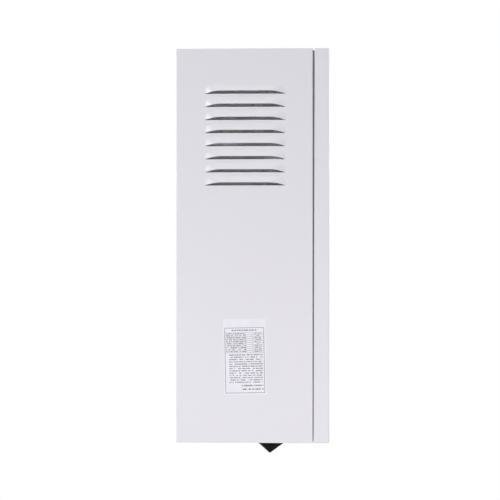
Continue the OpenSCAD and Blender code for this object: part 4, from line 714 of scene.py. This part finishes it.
# %% Screen
WIRE, MESH, INSIDE = 0.36, 1.1, 2.2
UNMERGED = 1e-7
low, high = LAST - 6, FIRST + RISE + 4
wide, tall = LENGTH + 12, high - low
for side, name in ((-1, "louvre_screen_left"), (1, "louvre_screen_right")):
    x = side * (WIDE / 2 - SHEET - INSIDE)
    runs = []
    for size, run, start, step in (
            ((WIRE, wide, WIRE), tall, place(x, MIDDLE, low), (0, 0, MESH * MM)),
            ((WIRE, WIRE, tall), wide,
             place(x - side * WIRE * 1.05, MIDDLE + wide / 2, (low + high) / 2), (0, MESH * MM, 0))):
        bm = bmesh.new()
        bmesh.ops.create_cube(bm, size=1.0, matrix=Matrix.Diagonal((*[s * MM for s in size], 1)))
        strand = from_mesh("strand", bm)
        screen = from_mesh("screen", bmesh.new())
        run_tree(screen, line_tree, Piece=strand, Count=int(run / MESH) + 1, Start=start,
                 Step=step, Merge=UNMERGED, Finish=coats["screen_wire"])
        runs.append(settle(screen, SMALL))
        bpy.data.objects.remove(strand)
    screen = adopt(gather(name, runs), "casing", "zinc_steel")
    print(name, len(screen.data.polygons), "faces")

# %% [markdown]
# ## Front cover
# The cover is a shallow tray of 1 mm sheet: a flat face whose four edges roll back into walls,
# and a lip turned in behind them. Its rear edge leans, so the gap to the casing narrows towards
# the foot. The outline is a set of corner centres with directions. Moving every point out along
# its direction gives the next loop, so face, roll, wall and lip are one strip of quads. The
# window for the control unit is a second set of loops.

# %% Sizes of the cover
FACE, ROLL, CORNER, LIP, HEM, COVER_SHEET = 252.0, 2.4, 3.0, 10.0, 0.7, 1.0
UNIT_Z, UNIT_W, UNIT_H = 430.0, 150.0, 96.0
SEAM_TOP, SEAM_FOOT = 3.0, 1.2
TAB_X, TAB_HALF, SCREW_D, DIMPLE_R, DIMPLE_H = 150.0, 14.0, 240.0, 6.0, 2.4
PIN_X, PIN_Z, EAR_HALF = 150.0, TALL - 19.0, 10.0
ROUND_STEPS = 6


def seam_depth(z):
    """Distance from the wall of the cover's rear edge at a height z."""
    return DEEP + SEAM_FOOT + (SEAM_TOP - SEAM_FOOT) * z / TALL


def corner_points(half_w, low, high, radius, steps):
    """Centres and directions round a rounded rectangle, anticlockwise seen from the front."""
    points = []
    for cx, cz, start in ((1, high, 0), (-1, high, 90), (-1, low, 180), (1, low, 270)):
        centre = (cx * (half_w - radius), cz - radius if cz == high else cz + radius)
        for k in range(steps + 1):
            a = radians(start + 90 * k / steps)
            points.append((*centre, cos(a), sin(a)))
    return points


def add_loop(bm, points, rho, depth):
    """One loop of vertices at a distance rho from the corner centres."""
    loop = []
    for cx, cz, to_x, to_z in points:
        z = cz + to_z * rho
        loop.append(bm.verts.new(place(cx + to_x * rho, depth(z) if callable(depth) else depth, z)))
    return loop


# %% The tray
bm = bmesh.new()
outline = corner_points(WIDE / 2, 0, TALL, CORNER, ROUND_STEPS)
loops = [add_loop(bm, outline, CORNER - ROLL + ROLL * sin(a), FACE - ROLL * (1 - cos(a)))
         for a in [pi / 2 * k / ROUND_STEPS for k in range(ROUND_STEPS + 1)]]
# The wall ends in a small radius where the lip turns in
for inwards, ahead in ((0, HEM), (0.2, 0.2), (HEM, 0)):
    loops.append(add_loop(bm, outline, CORNER - inwards, lambda z: seam_depth(z) + ahead))
lip = []
for cx, cz, to_x, to_z in outline:
    x = copysign(WIDE / 2 - LIP, cx)
    z = LIP if cz < TALL / 2 else TALL - LIP
    lip.append(bm.verts.new(place(x, seam_depth(z), z)))
bridge(bm, loops + [lip])
window = corner_points(UNIT_W / 2 + 1, UNIT_Z - UNIT_H / 2 - 1, UNIT_Z + UNIT_H / 2 + 1, 5.0, ROUND_STEPS)
rings = [add_loop(bm, window, rho, FACE - depth) for rho, depth in
         ((5.8, 0), (5.38, 0.12), (5.12, 0.38), (5.0, 0.8), (5.0, 1.4))]
bridge(bm, rings)
# The flat face is four planes that meet at the middles of the corners
n = ROUND_STEPS + 1
for k in range(4):
    middle = k * n + n // 2
    outer, inner = [[loop[i % (4 * n)] for i in range(middle, middle + n + 1)]
                    for loop in (loops[0], rings[0])]
    bm.faces.new(outer + inner[::-1])
face_out(bm, Vector((0, -1, 0)))
tray = thicken(from_mesh("cover_tray", bm), COVER_SHEET)


# %% Turned pieces and blocks
def turned(name, outline, at, axis="z", steps=32):
    """A closed piece turned from (radius, height) pairs, set at a point, along z or d."""
    bm = bmesh.new()
    rows = []
    ring = outline[0] == outline[-1]
    for r, h in outline[:-1] if ring else outline:
        around = range(steps if r > 1e-6 else 1)
        rows.append([bm.verts.new((r * MM * cos(tau * i / steps),
                                   r * MM * sin(tau * i / steps), h * MM)) for i in around])
    if ring:
        rows.append(rows[0])
    for low, high in zip(rows, rows[1:]):
        for i in range(steps):
            j = (i + 1) % steps
            quad = [low[i % len(low)], low[j % len(low)], high[j % len(high)], high[i % len(high)]]
            unique = [v for k, v in enumerate(quad) if v not in quad[:k]]
            if len(unique) > 2:
                bm.faces.new(unique)
    if len(rows[0]) > 1 and not ring:
        bm.faces.new(rows[0][::-1])
        bm.faces.new(rows[-1])
    bmesh.ops.recalc_face_normals(bm, faces=bm.faces)
    turn = Matrix.Rotation(pi / 2, 4, "X") if axis == "d" else Matrix()
    bmesh.ops.transform(bm, matrix=Matrix.Translation(at) @ turn, verts=bm.verts)
    return from_mesh(name, bm)


def block(name, x, d, z, edge, steps=2):
    """A box between those limits, its edges rounded by that many mm."""
    bm = bmesh.new()
    low, high = place(x[0], d[1], z[0]), place(x[1], d[0], z[1])
    bmesh.ops.create_cube(bm, size=1.0, matrix=Matrix.Translation((low + high) / 2)
                          @ Matrix.Diagonal((*(high - low), 1)))
    if edge:
        bmesh.ops.bevel(bm, geom=bm.edges[:], offset=edge * MM, segments=steps, profile=0.5,
                        affect="EDGES")
    return from_mesh(name, bm)


def cut_by(piece, cutters, sharp=SHARP):
    """Takes the cutters out of a piece, one after the other."""
    for cutter in cutters:
        hollow = piece.modifiers.new("hollow", "BOOLEAN")
        hollow.object = cutter
        hollow.operation = "DIFFERENCE"
        hollow.solver = "EXACT"
        settle(piece, sharp)
        bpy.data.objects.remove(cutter)
    return piece


# %% Dimples for the screws, ears and locating pins
drills = []
fittings = []
for x in (-TAB_X, TAB_X):
    drills.append(turned("drill", [(DIMPLE_R - 0.6, -3), (DIMPLE_R - 0.6, 2)], place(x, SCREW_D, 0)))
    drills.append(block("drill", (x - TAB_HALF, x + TAB_HALF), (DEEP, seam_depth(0) + 2.2),
                        (1.0, LIP + 0.5), 0))
    cup = [(DIMPLE_R, 0.0), (DIMPLE_R - 0.9, 0.15), (DIMPLE_R - 1.2, 0.5), (DIMPLE_R - 1.3, DIMPLE_H),
           (2.2, DIMPLE_H), (2.2, DIMPLE_H + 1), (DIMPLE_R, DIMPLE_H + 1), (DIMPLE_R, 0.0)]
    fittings.append(turned("dimple", cup, place(x, SCREW_D, 0)))
ear_d = seam_depth(PIN_Z)
pin = [(0, DEEP - 12), (1.8, DEEP - 12), (2.6, DEEP - 11.3), (3, DEEP - 10), (3, ear_d + 0.5),
       (0, ear_d + 0.5)]
for x in (-PIN_X, PIN_X):
    fittings.append(block("ear", (x - EAR_HALF, x + EAR_HALF), (ear_d, ear_d + COVER_SHEET),
                          (PIN_Z - 8, TALL - 6), 0.3))
    fittings.append(turned("pin", pin, place(x, 0, PIN_Z), "d"))
cut_by(tray, drills, FOLDED)
for piece in fittings:
    settle(piece, FOLDED)
cover = gather("front_cover_tray", [tray] + fittings)
cover.data.materials.clear()
adopt(cover, "cover", "casing_coat")
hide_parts("front_cover")
print("cover", len(cover.data.polygons), "faces")

# %% [markdown]
# ## Pieces taken over from their solids
# Every other node takes its finish from the record. Folded sheet and the rubber cone get a wider
# rounded edge than the rest, and the cover's small screws a narrower one.

# %% Eased pieces
OWN_PIECES = {"left_side_panel", "right_side_panel", "rating_label", "front_cover",
              "key_menu", "key_minus", "key_plus", "key_power", "element_leads",
              "signal_loom", "safety_valve_spring", "board_parts"}
EDGES = {"back_panel": 0.5, "top_panel": 0.35, "bottom_panel": 0.35, "wall_bracket": 0.5,
         "cable_grommet": 0.5, "cover_screws": 0.25}
eased_rows = [row for row in frame["record"]["subparts"] if row["node"] not in OWN_PIECES]
for row in eased_rows:
    eased(row["node"], row["material_slot"], EDGES.get(row["node"], 0.3))
print("eased", len(eased_rows))

# %% [markdown]
# ## Wires and the valve's spring
# A wire is a round section carried along a smooth line through a few points. Geometry Nodes do
# this directly: the points become a curve, a circle is swept along it and the ends are filled.
# The route's points are the same as the solid's, so the wire stays where the solid is. Each lead
# ends in a tinned crimp at the element and a ferrule at the clamp. The spring uses the same sweep
# on a spiral.


# %% Tube along a path
def sweep(tree, radius, sides):
    """The node that sweeps a circle along a curve and closes the ends."""
    section = add(tree, "GeometryNodeCurvePrimitiveCircle", {"Resolution": sides, "Radius": radius})
    return add(tree, "GeometryNodeCurveToMesh", {
        "Profile Curve": section.outputs[0], "Fill Caps": True})


tube_tree, start, painted = tree_with("tube_on_path", {
    "Radius": "Float", "Sides": "Int", "Steps": "Int"})
given = start.outputs
smooth = add(tube_tree, "GeometryNodeCurveSplineType", spline_type="CATMULL_ROM")
fineness = add(tube_tree, "GeometryNodeSetSplineResolution", {"Resolution": given["Steps"]})
chain(tube_tree, start, "GeometryNodeMeshToCurve", smooth, fineness,
      sweep(tube_tree, given["Radius"], given["Sides"]), "GeometryNodeRealizeInstances", painted)


def wire(name, points, radius, coat, sides=16, steps=8):
    """A round wire of that radius in mm through points given as (x, d, z)."""
    mesh = bpy.data.meshes.new(name)
    mesh.from_pydata([place(*p) for p in points], [(i, i + 1) for i in range(len(points) - 1)], [])
    obj = show(name, mesh)
    run_tree(obj, tube_tree, Radius=radius * MM, Sides=sides, Steps=steps, Finish=coats[coat])
    return settle(obj, ROUND)


# %% Leads of the heating elements
TANK_X, PIPE_D, PIN_RING, PIN_TOP, LEAD_R = -132.0, 80.0, 40, 532.0, 2.2
CLAMP_X, CLAMP_D, CLAMP_PITCH = 34.3, 145.8, 20
finish("crimp_tin", (0.55, 0.55, 0.56), (0.45, 0.45, 0.46), (0.25, 0.38), 1.0,
       grain=1500, bump=0.08, cloud=150)
BARREL = [(0, 0.3), (2.9, 0.3), (3.2, 0.6), (3.2, 3.2), (2.75, 3.9), (2.75, 5.6), (3.2, 6.3),
          (3.2, 8.6), (2.9, 9.0), (2.0, 9.0), (0, 9.0)]
FERRULE = [(0, 0), (2.5, 0), (2.5, 4.5), (2.9, 5.0), (2.9, 6.5), (0, 6.5)]
leads = []
crimps = []
for i, angle in enumerate((0, 90, 180)):
    end_x = TANK_X + PIN_RING * cos(radians(angle))
    end_d = PIPE_D + PIN_RING * sin(radians(angle))
    clamp_x = CLAMP_X + CLAMP_PITCH * i
    apart = 7 * i
    leads.append(wire("lead", [
        (clamp_x, CLAMP_D, 462.5), (clamp_x, CLAMP_D, 451), (clamp_x - 14, 148.8, 437 - apart),
        (-68 - apart, 172.2, 449 - apart), (-74 - apart, 163.2, 572 + apart),
        ((end_x - 60) / 2 - 6, (end_d + 153.2) / 2, 582 + apart),
        (end_x, end_d, PIN_TOP + 22), (end_x, end_d, PIN_TOP + 11), (end_x, end_d, PIN_TOP + 0.2),
    ], LEAD_R, "lead_brown"))
    crimps.append(settle(turned("crimp", BARREL, place(end_x, end_d, PIN_TOP), steps=24), ROUND))
    crimps.append(settle(turned("ferrule", FERRULE, place(clamp_x, CLAMP_D, 456), steps=20), ROUND))
leads = gather("element_leads_wires", leads)
adopt(leads, "casing", "lead_brown")
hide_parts("element_leads")
adopt(gather("element_leads_crimps", crimps), "casing", "lead_brown", "crimp_tin")
print("leads", len(leads.data.polygons), "faces")

# %% Signal loom
loom = wire("signal_loom_sleeve", [
    (124.8, 146, 466.5), (124.8, 154.8, 466.5), (122.8, 164.8, 464), (110.8, 178.8, 455),
    (58, 191, 450), (44, 205, 436), (40, 215, 430), (40, 223, 430), (40, 235.2, 430),
], 2.5, "loom_black", 20, 10)
adopt(loom, "casing", "loom_black")
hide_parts("signal_loom")

# %% Spring of the safety valve
VALVE_Z, SPRING_FOOT, SPRING_LENGTH = 60, 100.5, 41.2
coil_tree, start, painted = tree_with("coil", {
    "Turns": "Float", "Radius": "Float", "Length": "Float", "Wire": "Float", "Start": "Vector"})
given = start.outputs
spiral = add(coil_tree, "GeometryNodeCurveSpiral", {
    "Resolution": 32, "Rotations": given["Turns"], "Start Radius": given["Radius"],
    "End Radius": given["Radius"], "Height": given["Length"]})
laid = add(coil_tree, "GeometryNodeTransform", {
    "Rotation": (0, pi / 2, 0), "Translation": given["Start"]})
chain(coil_tree, spiral, sweep(coil_tree, given["Wire"], 12), laid,
      "GeometryNodeRealizeInstances", painted)
spring = from_mesh("safety_valve_spring_coil", bmesh.new())
run_tree(spring, coil_tree, Turns=6.0, Radius=7 * MM, Length=SPRING_LENGTH * MM, Wire=0.9 * MM,
         Start=place(SPRING_FOOT, PIPE_D, VALVE_Z), Finish=coats["spring_steel"])
settle(spring, ROUND)
adopt(spring, body_of["safety_valve_spring"], "spring_steel")
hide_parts("safety_valve_spring")
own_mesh(spring)
print("spring", [round(c / MM, 1) for c in spring.dimensions])

# %% [markdown]
# ## Parts on the power board
# The solid gives each part's place and size. Real ones differ in kind: relays in blue-grey caps,
# green screw clamps, white pin headers, cans with a scored top, a taped transformer on a core,
# two film blocks and a flat chip with a row of legs on every side. Most come in rows, so one of
# each is made and the line tree from the louvres sets the rest down.

# %% Finishes on the board
finish("relay_cap", (0.022, 0.034, 0.055), None, (0.28, 0.36), grain=1500, bump=0.05)
finish("clamp_green", (0.02, 0.17, 0.07), None, (0.36, 0.46), grain=1300, bump=0.06)
finish("header_white", (0.62, 0.61, 0.55), grain=1200, bump=0.05)
finish("can_sleeve", (0.012, 0.013, 0.02), None, (0.22, 0.3), bump=0.05)
finish("film_block", (0.50, 0.33, 0.045), None, (0.28, 0.36), grain=1400, bump=0.05)
finish("coil_tape", (0.55, 0.42, 0.06), (0.5, 0.37, 0.05), (0.2, 0.3), bump=0.1,
       streak=(40, 700, 40))
finish("core_stack", (0.10, 0.10, 0.11), None, (0.35, 0.5), 1.0, bump=0.3,
       streak=(30, 2600, 30), dust=0.1)
BOARD_X, BOARD_D, BOARD_Z = 14.8, 136.8, 455.0


def on_board(name, at, size, edge, lift=0.0):
    """A block on the board: its lower left corner, its size across, up and out."""
    x, d, z = BOARD_X + at[0], BOARD_D + lift, BOARD_Z + at[1]
    return block(name, (x, x + size[0]), (d, d + size[2]), (z, z + size[1]), edge)


def stud(name, outline, at, steps=24):
    """A turned piece that stands on the board at a place across and up."""
    return turned(name, outline, place(BOARD_X + at[0], BOARD_D, BOARD_Z + at[1]), "d", steps)


def row_of(name, coat, pieces, count=1, step=(0, 0)):
    """Sets the pieces down a number of times, each step in mm from the last."""
    one = gather(name + "_one", pieces)
    row = from_mesh(name, bmesh.new())
    run_tree(row, line_tree, Piece=one, Count=count, Start=(0, 0, 0),
             Step=(step[0] * MM, 0, step[1] * MM), Merge=UNMERGED, Finish=coats[coat])
    settle(row)
    bpy.data.objects.remove(one)
    return adopt(row, "casing", "part_black")


# %% Relays, clamps, headers and cans
relays = row_of("board_relays", "relay_cap", [
    on_board("base", (14, 66), (16, 30, 3), 0.3),
    on_board("cap", (14.5, 66.5), (15, 29, 14), 1.1, 2.9),
    stud("nub", [(0, 16.8), (1.0, 16.8), (0.9, 17.0), (0, 17.0)], (18, 92), 16),
], 6, (25, 0))
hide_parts("board_parts")
clamp = cut_by(on_board("clamp", (12, 8), (15, 12, 14), 0.5), [
    stud("well", [(0, 10.5), (3.0, 10.5), (3.0, 15), (0, 15)], (19.5, 14)),
    on_board("entry", (16, 7), (7, 4, 7.6), 0.6, 5)])
row_of("board_clamps", "clamp_green", [clamp], 4, (20, 0))
screw = cut_by(stud("screw", [(0, 9), (2.7, 9), (2.7, 12.4), (2.4, 12.7), (0, 12.7)], (19.5, 14)),
               [on_board("slot", (16, 13.6), (7, 0.8, 1.4), 0, 11.6)])
row_of("board_clamp_screws", "bolt_steel", [screw], 4, (20, 0))
header = cut_by(on_board("header", (102, 8), (16, 7, 9), 0.3),
                [on_board("well", (102.8, 8.8), (14.4, 5.4, 8), 0, 1.2)])
row_of("board_headers", "header_white", [header], 3, (20, 0))
for i in range(3):
    pin = on_board("pin", (104.6 + 20 * i, 11.2), (0.6, 0.6, 7.2), 0.1, 1.0)
    row_of(f"board_pins_{i}", "crimp_tin", [pin], 5, (2.54, 0))
row_of("board_plug", "header_white", [on_board("plug", (103.0, 9.0), (14, 5, 8), 0.5, 1.3)])
CAN = (62, 122)
can = stud("can", [(0, 0), (5.4, 0), (6, 0.5), (6, 1.6), (5.5, 2.2), (5.5, 2.8), (6, 3.4), (6, 21.2),
                   (5.7, 21.8), (5.2, 21.9), (5.0, 21.6), (0, 21.6)], CAN, 32)
row_of("board_cans", "can_sleeve", [can], 3, (15, 0))
lid = cut_by(stud("lid", [(0, 21.5), (5.0, 21.5), (5.0, 21.8), (4.6, 22.0), (0, 22.0)], CAN, 32), [
    on_board("score", (58.5, 121.75), (7, 0.5, 1), 0, 21.75),
    on_board("score", (61.75, 118.5), (0.5, 7, 1), 0, 21.75)])
row_of("board_can_lids", "sink_aluminium", [lid], 3, (15, 0))

# %% Transformer, film blocks, chip and resistors
row_of("board_transformer_core", "core_stack", [on_board("core", (14.5, 115), (35, 18, 21), 0.3, 4)])
row_of("board_transformer_base", "part_black", [on_board("base", (14, 108), (36, 32, 4), 0.5)])
row_of("board_transformer_coil", "coil_tape", [on_board("coil", (20.5, 109), (23, 30, 22), 3.2, 4)])
row_of("board_film_blocks", "film_block", [on_board("film", (104, 104), (40, 16, 18), 1.0)], 2, (0, 18))
chip = cut_by(on_board("chip", (101.4, 35.4), (19.2, 19.2, 2.6), 0.3, 0.3),
              [stud("dot", [(0, 2.75), (0.8, 2.75), (0.8, 4), (0, 4)], (103.4, 52.4), 16)])
row_of("board_chip", "part_black", [chip])
for name, at, size, step in (
        ("low", (103.1, 34.1), (0.45, 1.5, 0.9), (1.2, 0)),
        ("high", (103.1, 54.4), (0.45, 1.5, 0.9), (1.2, 0)),
        ("left", (100.1, 37.1), (1.5, 0.45, 0.9), (0, 1.2)),
        ("right", (120.4, 37.1), (1.5, 0.45, 0.9), (0, 1.2))):
    row_of("board_chip_legs_" + name, "crimp_tin", [on_board("leg", at, size, 0.1)], 14, step)
for k, (x, z, count, step) in enumerate((
        (18, 46, 16, (4.6, 0)), (18, 52, 12, (6.1, 0)), (128, 40, 7, (0, 3.4)), (134, 40, 7, (0, 3.4)))):
    body = on_board("body", (x, z), (2.0, 1.4, 0.6), 0.08)
    row_of(f"board_resistors_{k}", "part_black", [body], count, step)
    ends = [on_board("end", (x + end, z), (0.55, 1.4, 0.62), 0.08) for end in (-0.5, 1.95)]
    row_of(f"board_resistor_ends_{k}", "crimp_tin", ends, count, step)

# %% Screws that hold the board
HEAD = [(0, 0), (2.9, 0), (2.9, 0.7), (2.5, 1.5), (1.8, 1.9), (0, 2.0)]
for k, z in enumerate((6, 144)):
    cross = [on_board("slot", (6 - a, z - b), (2 * a, 2 * b, 2), 0, 1.0)
             for a, b in ((1.6, 0.3), (0.3, 1.6))]
    row_of(f"board_screws_{k}", "bolt_steel", [cut_by(stud("head", HEAD, (6, z)), cross)], 2, (158, 0))

# %% [markdown]
# ## Rating label
# The real label is a silver film with small print. This one carries no words: it has a blank
# head, a thin frame, a ruled table and rows of grey bars where a real label has its lines. The
# film is a thin plate with a UV map in millimetres from its upper left corner, and the print is
# worked out from those numbers in the material, so it stays sharp at any distance.

# %% Label plate
LABEL_W, LABEL_H, LABEL_D, LABEL_Z, LABEL_T, LABEL_R = 70.0, 125.0, 113.0, 142.0, 0.3, 1.5
LEAN = radians(1.1)


def on_label(r, w, out):
    """A point of the label, r to the front and w up from its middle, out from the side."""
    d = LABEL_D + r * cos(LEAN) - w * sin(LEAN)
    z = LABEL_Z + r * sin(LEAN) + w * cos(LEAN)
    return place(-WIDE / 2 - out, d, z)


bm = bmesh.new()
spots = {}
loops = []
for rho, out in ((LABEL_R, 0.0), (LABEL_R, LABEL_T - 0.07), (LABEL_R - 0.06, LABEL_T)):
    loop = []
    for cx, cz, to_x, to_z in corner_points(LABEL_W / 2, -LABEL_H / 2, LABEL_H / 2, LABEL_R, 5):
        r, w = cx + to_x * rho, cz + to_z * rho
        loop.append(bm.verts.new(on_label(r, w, out)))
        spots[loop[-1]] = (r + LABEL_W / 2, LABEL_H / 2 - w)
    loops.append(loop)
close_up(bm, loops)
uv = bm.loops.layers.uv.new("film")
for face in bm.faces:
    for corner in face.loops:
        corner[uv].uv = spots[corner.vert]
label = from_mesh("rating_label_film", bm)

# %% Print of the label
INK_SHARE, WORD, ROW_JUMP, GAP_LEVEL = 0.88, 0.42, 7.31, 0.45
tree = finish("label_film", (0.82, 0.805, 0.865), None, (0.28, 0.36), grain=1500, bump=0.03, cloud=60)
chart = add(tree, "ShaderNodeUVMap", uv_map="film")
u, v = add(tree, "ShaderNodeSeparateXYZ", {0: chart.outputs[0]}).outputs[:2]


def calc(operation, *values):
    """A sum in the label's material."""
    return compute(tree, operation, *values)


def within(value, low, high):
    """1 between two limits and 0 outside them."""
    return calc("MULTIPLY", calc("GREATER_THAN", value, low), calc("LESS_THAN", value, high))


def panel(u0, u1, v0, v1):
    """1 in a rectangle of the label and 0 outside it."""
    return calc("MULTIPLY", within(u, u0, u1), within(v, v0, v1))


def frame_line(u0, u1, v0, v1, width):
    """The outline of a rectangle on the label."""
    inner = panel(u0 + width, u1 - width, v0 + width, v1 - width)
    return calc("SUBTRACT", panel(u0, u1, v0, v1), inner)


def bars(u0, u1, v0, v1, pitch, share, seed):
    """Rows of grey bars of uneven length, the place of printed lines."""
    row = calc("DIVIDE", calc("SUBTRACT", v, v0), pitch)
    height = within(calc("FRACT", row), 0.5 - share / 2, 0.5 + share / 2)
    # Noise that is even over a letter's width and jumps from row to row breaks the bars up
    spot = add(tree, "ShaderNodeCombineXYZ", {
        0: calc("MULTIPLY", u, WORD), 1: calc("MULTIPLY", calc("FLOOR", row), ROW_JUMP), 2: seed})
    filled = calc("GREATER_THAN", noise(tree, 1.0, 1, spot.outputs[0]), GAP_LEVEL)
    return calc("MULTIPLY", calc("MULTIPLY", panel(u0, u1, v0, v1), height), filled)


PRINT_L, PRINT_R, TABLE_TOP, TABLE_FOOT, ROW = 2.2, 67.4, 22.6, 55.6, 3.3
table_row = calc("FRACT", calc("DIVIDE", calc("SUBTRACT", v, TABLE_TOP), ROW))
ink = [
    frame_line(PRINT_L, PRINT_R, 14.4, 122.3, 0.85),
    calc("MULTIPLY", calc("LESS_THAN", table_row, 0.11), panel(PRINT_L, PRINT_R, 22.5, 56.0)),
    panel(48.8, 49.15, TABLE_TOP, TABLE_FOOT),
    bars(12, 56, 15.8, 22.0, 6.0, 0.36, 1.0),
    bars(4.5, 38, TABLE_TOP, TABLE_FOOT, ROW, 0.40, 2.0),
    bars(51.5, 63, TABLE_TOP, TABLE_FOOT, ROW, 0.40, 3.0),
    bars(9.0, 64.5, 57.5, 106.2, 3.75, 0.42, 4.0),
    bars(29, 65, 107.0, 119.0, 6.0, 0.36, 5.0),
]
total = ink[0]
for layer in ink[1:]:
    total = calc("MAXIMUM", total, layer)
film = tree.nodes["Principled BSDF"].inputs["Base Color"].links[0].from_socket
feed_shader(tree, {"Base Color": blend(tree, calc("MULTIPLY", total, INK_SHARE), film, (0.12, 0.12, 0.14))})
settle(label, EASED)
adopt(label, "casing", "label_film")
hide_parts("rating_label")
print("label", len(ink), "layers of print")

# %% [markdown]
# ## Keys and display
# The keys are turned: a dished cap over a skirt and a stem. Their marks are plain signs that any
# maker uses: three bars, a minus, a plus and a broken ring with a bar. Behind the window the
# display is switched off, so its segments are only a shade lighter than the black round them.

# %% Sizes and finishes of the control unit
KEYS = {"key_menu": -39.0, "key_minus": -13.0, "key_plus": 13.0, "key_power": 39.0}
KEY_Z, LENS_Z = UNIT_Z - 30, UNIT_Z + 14
finish("key_sign", (0.03, 0.03, 0.034), None, (0.3, 0.4), grain=1500)
finish("display_face", (0.008, 0.008, 0.009), None, (0.2, 0.25), grain=500)
finish("segment_off", (0.075, 0.078, 0.082), (0.065, 0.068, 0.072), grain=800)


def arc_bar(name, x, z, radius, width, depth, start, end, steps=24):
    """A flat ring segment that faces the front, between two angles in degrees."""
    bm = bmesh.new()
    inner, outer = radius - width / 2, radius + width / 2
    section = ((inner, depth[0]), (outer, depth[0]), (outer, depth[1]), (inner, depth[1]))
    rings = []
    for k in range(steps + 1):
        a = radians(start + (end - start) * k / steps)
        rings.append([bm.verts.new(place(x + r * cos(a), d, z + r * sin(a)))
                      for r, d in section])
    close_up(bm, rings, abs(end - start) < 360)
    return from_mesh(name, bm)


# %% Keys
SIGN_D = (251.5, 251.86)
# Half width, foot and top of each sign's bars, from the middle of the key
SIGNS = {
    "key_menu": [(2.2, h - 0.25, h + 0.25) for h in (-1.5, 0, 1.5)],
    "key_minus": [(2.2, -0.3, 0.3)],
    "key_plus": [(2.2, -0.3, 0.3), (0.3, -2.2, 2.2)],
    "key_power": [(0.25, 0.6, 2.9)],
}
for node, x in KEYS.items():
    back = -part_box(node)[1][1] / MM
    cap = [(0, back), (1.8, back), (2, back + 0.2), (2, 248.2), (7.1, 248.2), (7.2, 248.3),
           (7.2, 249.3), (7.1, 249.4), (6, 249.4), (6, 251.3), (5.9, 251.65), (5.6, 251.9),
           (5.2, 251.98), (4.7, 251.95), (4.0, 251.84), (2.5, 251.74), (0, 251.7)]
    key = settle(turned(node + "_cap", cap, place(x, 0, KEY_Z), "d", 40), ROUND)
    adopt(key, body_of[node], "key_plastic")
    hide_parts(node)
    signs = [arc_bar("sign", x, KEY_Z, 2.1, 0.5, SIGN_D, 125, 415)] if node == "key_power" else []
    signs += [block("sign", (x - half, x + half), SIGN_D, (KEY_Z + low, KEY_Z + high), 0.08, 1)
              for half, low, high in SIGNS[node]]
    for sign in signs:
        settle(sign, SMALL)
    adopt(gather(node + "_sign", signs), body_of[node], "key_plastic", "key_sign")

# %% Display behind the window
FACE_D, FRONT = (249.4, 249.6), (249.6, 249.72)
face = block("display_face", (-50.8, 50.8), FACE_D, (LENS_Z - 20.8, LENS_Z + 20.8), 0.05, 1)
adopt(settle(face, SMALL), "casing", "part_black", "display_face")
segments = []


def segment(x, z, length, upright):
    """One bar of a digit with pointed ends."""
    bm = bmesh.new()
    half, t = length / 2, 0.9
    flat = [(-half, 0), (-half + t, t), (half - t, t), (half, 0), (half - t, -t), (-half + t, -t)]
    if upright:
        flat = [(b, a) for a, b in flat]
    rings = [[bm.verts.new(place(x + a, d, z + b)) for a, b in flat] for d in FRONT]
    close_up(bm, rings)
    return from_mesh("segment", bm)


DIGIT = [(0, 12, False), (0, 0, False), (0, -12, False),
         (-6.4, 6, True), (6.4, 6, True), (-6.4, -6, True), (6.4, -6, True)]
for x in (-16, 4):
    segments += [segment(x + dx, LENS_Z + dz, 11.2, upright) for dx, dz, upright in DIGIT]
segments.append(arc_bar("segment", 17.5, LENS_Z + 11.5, 1.7, 0.7, FRONT, 0, 360))
for i in range(6):
    x, foot = 30 + 2.6 * i, LENS_Z - 12
    segments.append(block("segment", (x, x + 1.6), FRONT, (foot, foot + 4 + 2.6 * i), 0.03, 1))
for i in range(3):
    segments.append(arc_bar("segment", -38, LENS_Z + 10 - 10 * i, 2.6, 0.8, FRONT, 0, 360, 20))
digits = settle(gather("display_segments", segments), SMALL)
adopt(digits, "casing", "part_black", "segment_off")
print("display", len(segments), "segments")
